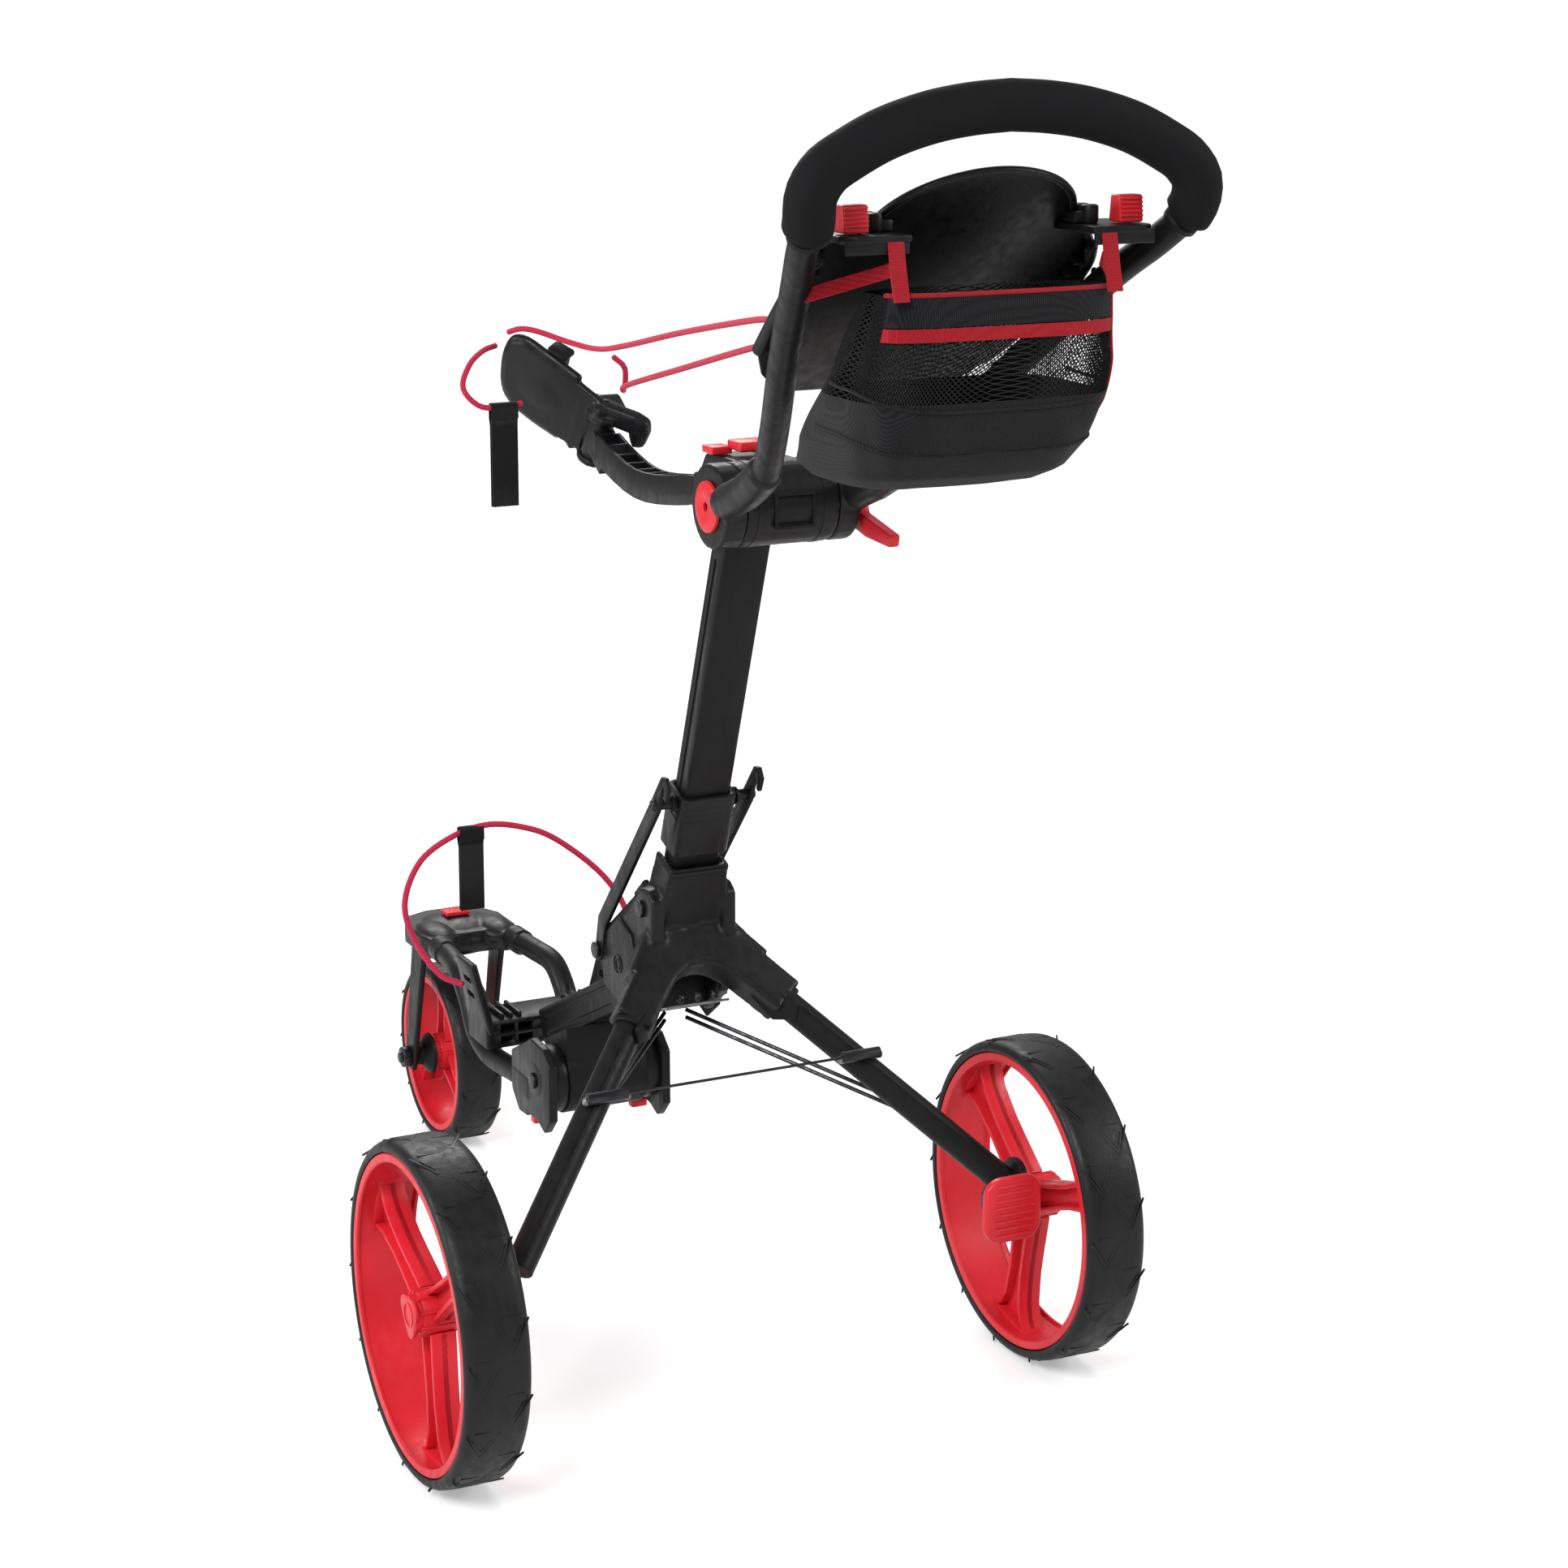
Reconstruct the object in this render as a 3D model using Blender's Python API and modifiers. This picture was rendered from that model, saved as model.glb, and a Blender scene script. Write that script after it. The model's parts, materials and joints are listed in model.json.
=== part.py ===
"""Three-wheeled folding golf push trolley.

The layout is drawn with the rear axle at y = 0 and heights above a ground line that is LAYOUT_AXLE_H
below it. +X is the user's right, +Y the way it rolls, +Z up. One empty carries it all to its origin,
the middle of the footprint at ground level.
"""
import math

import bmesh
import bpy
from mathutils import Matrix, Vector

# ---- driving dimensions, metres ----
GAP = 0.0004                # clearance between pieces that touch
RUN = 0.0005                # radial clearance of a pin in its bore

REAR_R = 0.145              # rear tyre radius
REAR_W = 0.056
FRONT_R = 0.095             # front tyre radius
FRONT_W = 0.048
TYRE_T = 0.0115             # tyre thickness at the tread
RIM_T = 0.0045              # wall of the rim barrel
WEB_T = 0.016
HUB_R = 0.020
AXLE_R = 0.006
TRACK = 0.564               # between the rear wheels' middles
SPOKES = 3
SPOKE_TURN_LEFT, SPOKE_TURN_RIGHT, SPOKE_TURN_FRONT = 24, 40, 95   # degrees, first spoke

LAYOUT_AXLE_H = 0.145       # height of the rear axle that the layout is drawn for
CASTER_Y = 0.705            # swivel axis
CASTER_LEAD = 0.030         # front axle ahead of the swivel axis, as it stands
CROWN_T = 0.009
CROWN_CLEAR = 0.0255        # between the front tyre and the fork's crown
FORK_T = 0.006
FORK_X = 0.0400             # inner face of a fork leg
HOUSING_H = 0.028
STEM_R = 0.008

TUBE_W, TUBE_D = 0.042, 0.026     # main tube across and fore-aft
TUBE_TOP = (0.0068, 0.7628)       # y, z of the tube's top on its centre line
MAIN_PIVOT = (0.129, 0.420)       # y, z of the main fold
COLLAR_FROM, COLLAR_LEN = 0.062, 0.058
COLLAR_T = 0.005
BRACE_TOP, BRACE_LOW = (0.088, 0.523), (0.217, 0.359)
BRACE_X, BRACE_T, BRACE_W = 0.0410, 0.004, 0.015
PLATE_X, PLATE_T = 0.0368, 0.003  # inner face of a joint plate

LEG_R = 0.0125
LEG_CROSS = (0.137, 0.4055)       # y, z where the two leg lines meet
LEG_SLOPE = (0.147, -0.115, -0.144)
LEG_FROM_X, SLEEVE_END_X, LEG_TO_X = 0.040, 0.073, 0.226
BRACKET_T = 0.006
BOLT_R = 0.004

ARM_W, ARM_H = 0.028, 0.036       # front arm's section
ARM_FROM, ARM_TO = (0.187, 0.335), (0.437, 0.214)
BARREL_AT, BARREL_R, BARREL_X = (0.335, 0.200), 0.034, 0.0392
FOOT_T = 0.022
GOOSE_R, GOOSE_X = 0.011, 0.050

HINGE_AT, HINGE_R = (-0.055, 0.800), 0.034   # upper hinge
HINGE_HALF, NOSE_HALF, YOKE_T = 0.040, 0.026, 0.018
HINGE_PIN_R = 0.005
ARM_PIVOT = (0.0500, 0.797)       # upper bracket arm
CRADLE_AT = (0.307, 0.805)        # y, z of the cradle's pin
CRADLE_PITCH = math.radians(33)   # the arm's end rises by this
BARREL_HALF = 0.020               # half the cradle barrel's length
WING_T, WING_H, WING_MID = 0.014, 0.066, 0.009
WING_TURN, TAIL_TURN = math.radians(127), math.radians(40)
SOCKET_FROM, SOCKET_TO = (0.0555, -0.0790, 0.8062), (0.0565, -0.1180, 0.8205)
SOCKET_R = 0.0142

HANDLE_R = 0.011
BRAKE_PIVOT, BRAKE_PAD = (-0.024, 0.160), (-0.072, 0.171)
PAD_SIZE = (0.060, 0.010, 0.060)
PANEL_AT, PANEL_T = (-0.300, 0.990), 0.004
SHELF_H = 1.035
BAG_HALF, BAG_WALL = 0.095, 0.004
GRIP_R, GRIP_WALL = 0.0175, 0.0048
GRIP_Y = -0.414
CORD_R, LOW_CORD_R = 0.0025, 0.003
TAB_W, TAB_T = 0.025, 0.003
LOW_TAB_L, HIGH_TAB_L = 0.078, 0.090

FACETS = 14
WHEEL_FACETS = 40

TUBE_DIR = Vector((0, TUBE_TOP[0] - MAIN_PIVOT[0], TUBE_TOP[1] - MAIN_PIVOT[1])).normalized()
TUBE_LEN = math.dist(TUBE_TOP, MAIN_PIVOT)
LEG_DIR = Vector(LEG_SLOPE).normalized()
LEG_NORMAL = Vector((0, -LEG_DIR.z, LEG_DIR.y)).normalized()      # forward side of the legs' plane
FRONT_AXLE_Y = CASTER_Y + CASTER_LEAD
GROUND = LAYOUT_AXLE_H - REAR_R
FRONT_AXLE_H = GROUND + FRONT_R
CROWN_H = GROUND + 2 * FRONT_R + CROWN_CLEAR
HOUSING_FROM_H = CROWN_H + CROWN_T + GAP
ORIGIN_Y = (GRIP_Y - GRIP_R + FRONT_AXLE_Y + FRONT_R) / 2

BLACK = ("black_plastic", (0.018, 0.018, 0.020), 0.45, 0.0)
TUBE_BLACK = ("black_tube", (0.020, 0.020, 0.022), 0.35, 0.4)
RED = ("red_plastic", (0.78, 0.02, 0.03), 0.38, 0.0)
RUBBER = ("tyre_rubber", (0.014, 0.014, 0.015), 0.7, 0.0)
STEEL = ("dark_steel", (0.05, 0.05, 0.055), 0.35, 0.9)
FOAM = ("foam", (0.012, 0.012, 0.013), 0.9, 0.0)
NET = ("net_fabric", (0.02, 0.02, 0.02), 0.95, 0.0)
CORD = ("red_cord", (0.62, 0.03, 0.08), 0.8, 0.0)
WEBBING = ("black_webbing", (0.012, 0.012, 0.012), 0.9, 0.0)

for old in list(bpy.data.objects):
    bpy.data.objects.remove(old, do_unlink=True)
PARTS = bpy.data.collections.new("golf_push_trolley")
CUTTERS = bpy.data.collections.new("cutters")
bpy.context.scene.collection.children.link(PARTS)
bpy.context.scene.collection.children.link(CUTTERS)
CARRIER = bpy.data.objects.new("trolley", None)
CARRIER.location = (0, -ORIGIN_Y, REAR_R - LAYOUT_AXLE_H)
PARTS.objects.link(CARRIER)


# ---- helpers ----
def material(spec):
    name, colour, rough, metal = spec
    made = bpy.data.materials.get(name)
    if made:
        return made
    made = bpy.data.materials.new(name)
    made.use_nodes = True
    shader = made.node_tree.nodes["Principled BSDF"]
    shader.inputs["Base Color"].default_value = (*colour, 1)
    shader.inputs["Roughness"].default_value = rough
    shader.inputs["Metallic"].default_value = metal
    return made


def place(obj, spec, frame):
    """Put a new piece in the parts, or among the cutters if it has no material."""
    home = PARTS if spec else CUTTERS
    home.objects.link(obj)
    obj.parent = CARRIER
    obj.matrix_basis = frame
    if spec:
        obj.data.materials.append(material(spec))
    else:
        obj.hide_render = True
        obj.display_type = "WIRE"
    return obj


def at(x, y, z):
    return Matrix.Translation((x, y, z))


def axes(x_axis, y_axis, origin):
    """A frame with the given X and Y directions."""
    x_axis = Vector(x_axis).normalized()
    z_axis = x_axis.cross(Vector(y_axis)).normalized()
    turn = Matrix((x_axis, z_axis.cross(x_axis), z_axis)).transposed()
    return Matrix.Translation(origin) @ turn.to_4x4()


def side(x, y=0.0, z=0.0):
    """Local X, Y, Z run along world Y, Z, X: for outlines drawn from the side and for lateral pins."""
    return axes((0, 1, 0), (0, 0, 1), (x, y, z))


def box(name, spec, size, frame, bevel=0.0, taper=(1.0, 1.0)):
    """A block centred on the frame; taper narrows its +Z end in X and Y."""
    mesh = bpy.data.meshes.new(name)
    shape = bmesh.new()
    bmesh.ops.create_cube(shape, size=1.0)
    for v in shape.verts:
        top = v.co.z > 0
        v.co.x *= size[0] * (taper[0] if top else 1)
        v.co.y *= size[1] * (taper[1] if top else 1)
        v.co.z *= size[2]
    shape.to_mesh(mesh)
    shape.free()
    obj = place(bpy.data.objects.new(name, mesh), spec, frame)
    if bevel:
        rounding = obj.modifiers.new("rounding", "BEVEL")
        rounding.width = bevel
        rounding.segments = 2
    return obj


def rod(name, spec, radius, length, frame, facets=FACETS):
    """A round bar along local Z, centred on the frame."""
    mesh = bpy.data.meshes.new(name)
    shape = bmesh.new()
    bmesh.ops.create_cone(shape, cap_ends=True, segments=facets, radius1=radius, radius2=radius, depth=length)
    shape.to_mesh(mesh)
    shape.free()
    mesh.shade_smooth()
    mesh.set_sharp_from_angle(angle=math.radians(40))
    return place(bpy.data.objects.new(name, mesh), spec, frame)


def turned(name, spec, profile, frame, facets=FACETS):
    """A closed (radius, height) profile turned about local Z; its outer side is listed top to bottom."""
    mesh = bpy.data.meshes.new(name)
    shape = bmesh.new()
    points = [shape.verts.new((r, 0, h)) for r, h in profile]
    for a, b in zip(points, points[1:] + points[:1]):
        shape.edges.new((a, b))
    shape.to_mesh(mesh)
    shape.free()
    obj = place(bpy.data.objects.new(name, mesh), spec, frame)
    turn = obj.modifiers.new("turn", "SCREW")
    turn.steps = turn.render_steps = facets
    turn.use_merge_vertices = True
    turn.merge_threshold = 0.00001
    return obj


def weld_mesh(obj):
    """Swap a curve for its welded mesh, so that it can be cut and joined."""
    bpy.context.view_layer.update()
    evaluated = obj.evaluated_get(bpy.context.evaluated_depsgraph_get())
    mesh = bpy.data.meshes.new_from_object(evaluated)
    shape = bmesh.new()
    shape.from_mesh(mesh)
    bmesh.ops.remove_doubles(shape, verts=shape.verts, dist=0.00001)
    bmesh.ops.recalc_face_normals(shape, faces=shape.faces)
    shape.to_mesh(mesh)
    shape.free()
    name = obj.name
    curve = obj.data
    solid = bpy.data.objects.new(name + "_mesh", mesh)
    obj.users_collection[0].objects.link(solid)
    solid.parent = CARRIER
    solid.matrix_basis = obj.matrix_basis
    solid.hide_render = obj.hide_render
    solid.display_type = obj.display_type
    bpy.data.objects.remove(obj)
    bpy.data.curves.remove(curve)
    solid.name = name
    return solid


def plate(name, spec, loops, thickness, frame):
    """A flat outline, with any holes as further loops, thick along local Z and centred on the frame."""
    curve = bpy.data.curves.new(name, "CURVE")
    curve.dimensions = "2D"
    curve.fill_mode = "BOTH"
    curve.extrude = thickness / 2
    for loop in loops:
        spline = curve.splines.new("POLY")
        spline.points.add(len(loop) - 1)
        for point, (u, v) in zip(spline.points, loop):
            point.co = (u, v, 0, 1)
        spline.use_cyclic_u = True
    return weld_mesh(place(bpy.data.objects.new(name, curve), spec, frame))


def circle(u, v, radius, facets=FACETS, start=0.0, sweep=math.tau):
    """Points on a circle, or on an arc of it when the sweep is shorter."""
    count = facets if sweep == math.tau else facets + 1
    return [
        (u + radius * math.cos(start + sweep * i / facets), v + radius * math.sin(start + sweep * i / facets))
        for i in range(count)
    ]


def rounded(width, height, radius, steps=3):
    """A rectangle with round corners."""
    points = []
    for i, (su, sv) in enumerate(((1, 1), (-1, 1), (-1, -1), (1, -1))):
        corner = (su * (width / 2 - radius), sv * (height / 2 - radius))
        points += circle(*corner, radius, steps, i * math.pi / 2, math.pi / 2)
    return points


def link(a, b, ra, rb, steps=8):
    """The outline of two discs and the band between them."""
    lean = math.atan2(b[1] - a[1], b[0] - a[0])
    spread = math.acos((ra - rb) / math.dist(a, b))
    far = circle(*b, rb, steps, lean - spread, 2 * spread)
    near = circle(*a, ra, steps, lean + spread, math.tau - 2 * spread)
    return far + near


def smooth(route, spacing):
    """Evenly spaced points on a Catmull-Rom curve through the route."""
    route = [Vector(p) for p in route]
    ends = [2 * route[0] - route[1]] + route + [2 * route[-1] - route[-2]]
    fine = []
    for a, b, c, d in zip(ends, ends[1:], ends[2:], ends[3:]):
        for i in range(24):
            t = i / 24
            fine.append(0.5 * (2 * b + (c - a) * t + (2 * a - 5 * b + 4 * c - d) * t**2
                               + (3 * b - a - 3 * c + d) * t**3))
    fine.append(route[-1])
    total = sum((q - p).length for p, q in zip(fine, fine[1:]))
    count = max(2, round(total / spacing))
    points, walked, wanted = [fine[0]], 0.0, total / count
    for p, q in zip(fine, fine[1:]):
        step = (q - p).length
        while walked + step >= wanted - 1e-9 and len(points) < count:
            points.append(p.lerp(q, (wanted - walked) / step))
            wanted += total / count
        walked += step
    return points + [fine[-1]]


def pipe(name, spec, points, radius, resolution=2, caps=True):
    """A round tube through the points."""
    curve = bpy.data.curves.new(name, "CURVE")
    curve.dimensions = "3D"
    curve.bevel_depth = radius
    curve.bevel_resolution = resolution
    curve.use_fill_caps = caps
    spline = curve.splines.new("POLY")
    spline.points.add(len(points) - 1)
    for point, co in zip(spline.points, points):
        point.co = (*co, 1)
    return place(bpy.data.objects.new(name, curve), spec, Matrix())


def combine(obj, others, operation):
    """Join or cut with others, which become hidden tools."""
    for other in others:
        step = obj.modifiers.new(operation.lower(), "BOOLEAN")
        step.operation = operation
        step.solver = "EXACT"
        step.object = other
    return obj


def mirrored(points, sign):
    return [(sign * x, y, z) for x, y, z in points]


def on_leg(x, forward=0.0):
    """A point on the right leg's line at this x, moved off it towards the front."""
    along = x / LEG_DIR.x
    return Vector((0, *LEG_CROSS)) + LEG_DIR * along + LEG_NORMAL * forward


def on_tube(along, forward=0.0, x=0.0):
    """A point on the main tube, from the main pivot up."""
    ahead = Vector((0, TUBE_DIR.z, -TUBE_DIR.y))
    return Vector((x, *MAIN_PIVOT)) + TUBE_DIR * along + ahead * forward


def tube_frame(along, forward=0.0):
    return axes((1, 0, 0), (0, TUBE_DIR.z, -TUBE_DIR.y), on_tube(along, forward))


# ---- wheels ----
def wheel(name, radius, width, x, y, z, hub_half, turn):
    """Tyre, spoked rim and their common frame, which turns about world X."""
    frame = side(x, y, z)
    half = width / 2
    bead = radius - TYRE_T
    turned(f"{name}_tyre", RUBBER, [
        (bead, half - 0.001), (radius - 0.008, half), (radius - 0.003, half - 0.003),
        (radius - 0.0006, half * 0.45),
        (radius - 0.0006, -half * 0.45), (radius - 0.003, 0.003 - half), (radius - 0.008, -half),
        (bead, 0.001 - half),
    ], frame, WHEEL_FACETS)
    outer = bead - GAP
    inner = outer - RIM_T
    rim = turned(f"{name}_rim", RED, [
        (outer, half - 0.0015), (outer, 0.0015 - half), (inner, 0.0015 - half), (inner, half - 0.0015),
    ], frame, WHEEL_FACETS)
    windows = []
    for i in range(SPOKES):
        start = math.tau * i / SPOKES + math.radians(turn)
        wide, narrow = math.radians(16), math.radians(30)
        arc = circle(0, 0, inner - 0.012, 6, start + wide, math.tau / SPOKES - 2 * wide)
        root = circle(0, 0, HUB_R + 0.006, 2, start + math.tau / SPOKES - narrow,
                      2 * narrow - math.tau / SPOKES)
        windows.append(arc + root)
    web = plate(f"{name}_web", None, [circle(0, 0, inner + RIM_T / 2, WHEEL_FACETS)] + windows, WEB_T, frame)
    hub = rod(f"{name}_hub", None, HUB_R, 2 * hub_half, frame, 24)
    bore = rod(f"{name}_bore", None, AXLE_R + RUN, 2 * width, frame)
    combine(rim, [web, hub], "UNION")
    combine(rim, [bore], "DIFFERENCE")


def rear_end(name, sign):
    """One leg, with its axle bracket, axle, wheel and cap."""
    wheel_x = sign * TRACK / 2
    hub_half = 0.024
    turn = SPOKE_TURN_RIGHT if sign > 0 else SPOKE_TURN_LEFT
    wheel(f"rear_{name}", REAR_R, REAR_W, wheel_x, 0, LAYOUT_AXLE_H, hub_half, turn)
    start, end = on_leg(LEG_FROM_X), on_leg(LEG_TO_X)
    pipe(f"leg_{name}", TUBE_BLACK, mirrored([start, end], sign), LEG_R, 3)
    cap_x = LEG_TO_X + LEG_R * math.sqrt(1 - LEG_DIR.x**2)
    bracket_x = cap_x + GAP + BRACKET_T / 2
    outline = link((end.y, end.z), (0, LAYOUT_AXLE_H), 0.018, 0.016)
    bores = [circle(0, LAYOUT_AXLE_H, AXLE_R + RUN)]
    if sign > 0:
        bores.append(circle(*BRAKE_PIVOT, BOLT_R + RUN))
        brake(bracket_x)
    plate(f"axle_bracket_{name}", BLACK, [outline, *bores], BRACKET_T, side(sign * bracket_x))
    inner_x = bracket_x - BRACKET_T / 2 - 0.002
    outer_x = TRACK / 2 + hub_half - 0.004
    rod(f"axle_{name}", STEEL, AXLE_R, outer_x - inner_x,
        side(sign * (inner_x + outer_x) / 2, 0, LAYOUT_AXLE_H))


def brake(bracket_x):
    """Ribbed foot pad on a short lever that turns on a pin through the right axle bracket."""
    lever_t = 0.005
    lever_x = bracket_x + BRACKET_T / 2 + GAP + lever_t / 2
    reach = (BRAKE_PAD[0] + PAD_SIZE[1] / 2 - 0.001, BRAKE_PAD[1])
    outline = link(BRAKE_PIVOT, reach, 0.010, 0.008)
    lever = plate("brake_pedal", RED, [outline, circle(*BRAKE_PIVOT, BOLT_R + RUN)], lever_t, side(lever_x))
    pad_x = lever_x + lever_t / 2 - PAD_SIZE[0] / 2
    combine(lever, [box("brake_pad", None, PAD_SIZE, at(pad_x, *BRAKE_PAD), 0.003)], "UNION")
    low, high = bracket_x - BRACKET_T / 2 - GAP, lever_x + lever_t / 2 + GAP
    middle, half = (low + high) / 2, (high - low) / 2
    head_r, head_t = 0.007, 0.0025
    turned("brake_pin", STEEL, [
        (0, half + head_t), (head_r, half + head_t), (head_r, half), (BOLT_R, half),
        (BOLT_R, -half), (head_r, -half), (head_r, -half - head_t), (0, -half - head_t),
    ], side(middle, *BRAKE_PIVOT))


# ---- lower joint ----
def lower_cover():
    """Moulded Y cover: a sleeve round the tube's foot and one round each leg's top."""
    rear, front, inner = -0.0192, 0.0150, TUBE_W / 2 + 0.0015
    low, high = -0.034, 0.050
    mid, deep = (low + high) / 2, (rear + front) / 2
    cover = box("lower_joint_cover", BLACK, (0.070, front - rear, high - low), tube_frame(mid, deep),
                taper=(0.055 / 0.070, 1.0))
    sleeves, sockets = [], []
    for sign in (1, -1):
        mid_x = (0.012 + SLEEVE_END_X) / 2
        centre = on_leg(mid_x)
        length = (SLEEVE_END_X - 0.012) / LEG_DIR.x
        across = LEG_NORMAL.cross(LEG_DIR)
        frame = axes((sign * across.x, across.y, across.z), LEG_NORMAL * sign,
                     (sign * centre.x, centre.y, centre.z))
        sleeves.append(box(f"sleeve_{sign}", None, (0.034, 0.032, length), frame))
        start = on_leg(LEG_FROM_X - 0.0006)
        end = on_leg(SLEEVE_END_X + 0.03)
        socket = pipe(f"socket_{sign}", None, mirrored([start, end], sign), LEG_R + 0.0012, 3)
        sockets.append(weld_mesh(socket))
    channel_back = rear + 0.0034
    channel = box("tube_channel", None, (2 * inner, 0.06 - channel_back, 0.09),
                  tube_frame(0.0165 + 0.0105, (0.06 + channel_back) / 2))
    bolt = rod("cover_bolt_bore", None, BOLT_R + RUN, 0.12, side(0, *MAIN_PIVOT))
    combine(cover, sleeves, "UNION")
    combine(cover, sockets + [channel, bolt], "DIFFERENCE")


def lower_joint():
    """A clevis of two plates on a core: it holds the tube's foot, the front arm and the braces."""
    lower_cover()
    bores = [circle(*p, BOLT_R + RUN) for p in (MAIN_PIVOT, BRACE_LOW)]
    outline = [(0.118, 0.452), (0.118, 0.401), (0.1405, 0.388), (0.1405, 0.318), (0.165, 0.300),
               (0.205, 0.314),
               (0.231, 0.348), (0.226, 0.370), (0.205, 0.385), (0.150, 0.440)]
    face = (ARM_FROM[0] - 0.008, ARM_FROM[1] + 0.004)
    core = plate("joint_core", BLACK, [
        [(0.145, 0.318), (face[0] - 0.010, 0.313), (face[0] - 0.002, 0.360), (0.150, 0.372)],
    ], 2 * PLATE_X + PLATE_T, side(0))
    cheeks = [plate(f"joint_plate_{sign}", None, [outline] + bores, PLATE_T,
                    side(sign * (PLATE_X + PLATE_T / 2)))
              for sign in (1, -1)]
    combine(core, cheeks, "UNION")
    stack("main_pivot_bolt", PLATE_X + PLATE_T, MAIN_PIVOT)
    stack("brace_bolt", BRACE_X + BRACE_T, BRACE_LOW)
    for name, sign in (("left", -1), ("right", 1)):
        strut_rod(name, sign)


def stack(name, half, where):
    """A through bolt along X, with a head past each outer face at +-half."""
    head_r, head_t = BOLT_R * 1.9, 0.0035
    outer = half + GAP
    turned(name, STEEL, [
        (0, outer + head_t), (head_r, outer + head_t), (head_r, outer), (BOLT_R, outer),
        (BOLT_R, -outer), (head_r, -outer), (head_r, -outer - head_t), (0, -outer - head_t),
    ], side(0, *where))


def strut_rod(name, sign):
    """A thin wire stay bent into a long U, from under the core to the leg."""
    end = on_leg(0.160, LEG_R + 0.0045)
    start = Vector((0.010, 0.150, 0.308))
    apart = Vector((0, 0.0, 0.007))
    bend = (end - start).normalized() * 0.005
    route = [start + apart, end - bend + apart, end + apart * 0.6, end, end - bend, start]
    pipe(f"stay_{name}", STEEL, mirrored(route, sign), 0.002, 1)


def spread_wire():
    """Tension wire between the legs, held by a barrel with a stud on each."""
    off = LEG_R + 0.0079
    anchor_x = 0.125
    middle = on_leg(anchor_x, -off)
    barrel_r, barrel_len, shift = 0.005, 0.036, 0.006
    for name, sign in (("left", -1), ("right", 1)):
        barrel = rod(f"wire_barrel_{name}", STEEL, barrel_r, barrel_len,
                     side(sign * (anchor_x - shift), middle.y, middle.z), 12)
        stud_from, stud_to = LEG_R + GAP, off - barrel_r * 0.4
        centre = on_leg(anchor_x, -(stud_from + stud_to) / 2)
        frame = axes((1, 0, 0), (0, LEG_NORMAL.z, -LEG_NORMAL.y), (sign * centre.x, centre.y, centre.z))
        combine(barrel, [rod(f"wire_stud_{name}", None, 0.0035, stud_to - stud_from, frame, 12)], "UNION")
    wire_half = anchor_x - shift - barrel_len / 2 - GAP
    rod("spread_wire", STEEL, 0.0012, 2 * wire_half, side(0, middle.y, middle.z), 8)


# ---- main tube ----
def main_tube():
    groove = 0.0022
    half_w, half_d = TUBE_W / 2, TUBE_D / 2
    section = rounded(TUBE_W, TUBE_D, 0.004)
    slots = [[(s * (half_w - 0.0012), -groove), (s * (half_w - 0.0012), groove),
              (s * (half_w + 0.001), groove),
              (s * (half_w + 0.001), -groove)] for s in (1, -1)]
    foot = -0.008
    length = TUBE_LEN - foot
    tube = plate("main_tube", TUBE_BLACK, [section], length, tube_frame(foot + length / 2))
    cutters = [plate(f"groove_{i}", None, [slot], length - 0.10, tube_frame(foot + length / 2 + 0.03))
               for i, slot in enumerate(slots)]
    bore = rod("tube_bolt_bore", None, BOLT_R + RUN, 0.12, side(0, *MAIN_PIVOT))
    combine(tube, cutters + [bore], "DIFFERENCE")
    wide, deep = TUBE_W + 2 * COLLAR_T, TUBE_D + 2 * COLLAR_T
    hole = rounded(TUBE_W + 2 * GAP, TUBE_D + 2 * GAP, 0.004)
    collar = plate("tube_collar", BLACK, [rounded(wide, deep, 0.007), hole], COLLAR_LEN,
                   tube_frame(COLLAR_FROM + COLLAR_LEN / 2))
    stubs = []
    reach = BRACE_X - GAP
    for sign in (1, -1):
        start = wide / 2 - 0.002
        stubs.append(rod(f"collar_stub_{sign}", None, 0.005, reach - start,
                         side(sign * (reach + start) / 2, *BRACE_TOP), 12))
    combine(collar, stubs, "UNION")


def braces():
    """Flat bars from the joint plates to the collar, each ending in a hook above its pin."""
    kink = (0.208, 0.388)
    half = BRACE_W / 2
    run = Vector((BRACE_TOP[0] - kink[0], BRACE_TOP[1] - kink[1])).normalized()
    left = Vector((-run.y, run.x))
    top, low, bend = Vector(BRACE_TOP), Vector(BRACE_LOW), Vector(kink)
    hook_out = top + run * 0.030 - left * 0.002
    outline = [low + Vector((half, -0.004)), bend + Vector((half, 0.003)), top - left * half,
               hook_out - left * 0.006, hook_out + run * 0.006, hook_out + left * 0.010 + run * 0.003,
               hook_out + left * 0.014 - run * 0.010, hook_out + left * 0.010 - run * 0.011,
               hook_out + left * 0.006 - run * 0.004, hook_out + left * 0.001 - run * 0.003,
               top + left * 0.003 + run * 0.012, top + left * half, bend + Vector((-half, -0.003)),
               low + Vector((-half, -0.004)), low + Vector((0, -half - 0.003))]
    bore = circle(*BRACE_LOW, BOLT_R + RUN)
    for name, sign in (("left", -1), ("right", 1)):
        brace = plate(f"brace_{name}", BLACK, [[tuple(p) for p in outline], bore], BRACE_T,
                      side(sign * (BRACE_X + BRACE_T / 2)))
        screw = rod(f"brace_screw_{name}", None, 0.0045, 0.004,
                    side(sign * (BRACE_X + BRACE_T + 0.001), *BRACE_TOP))
        combine(brace, [screw], "UNION")


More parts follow.
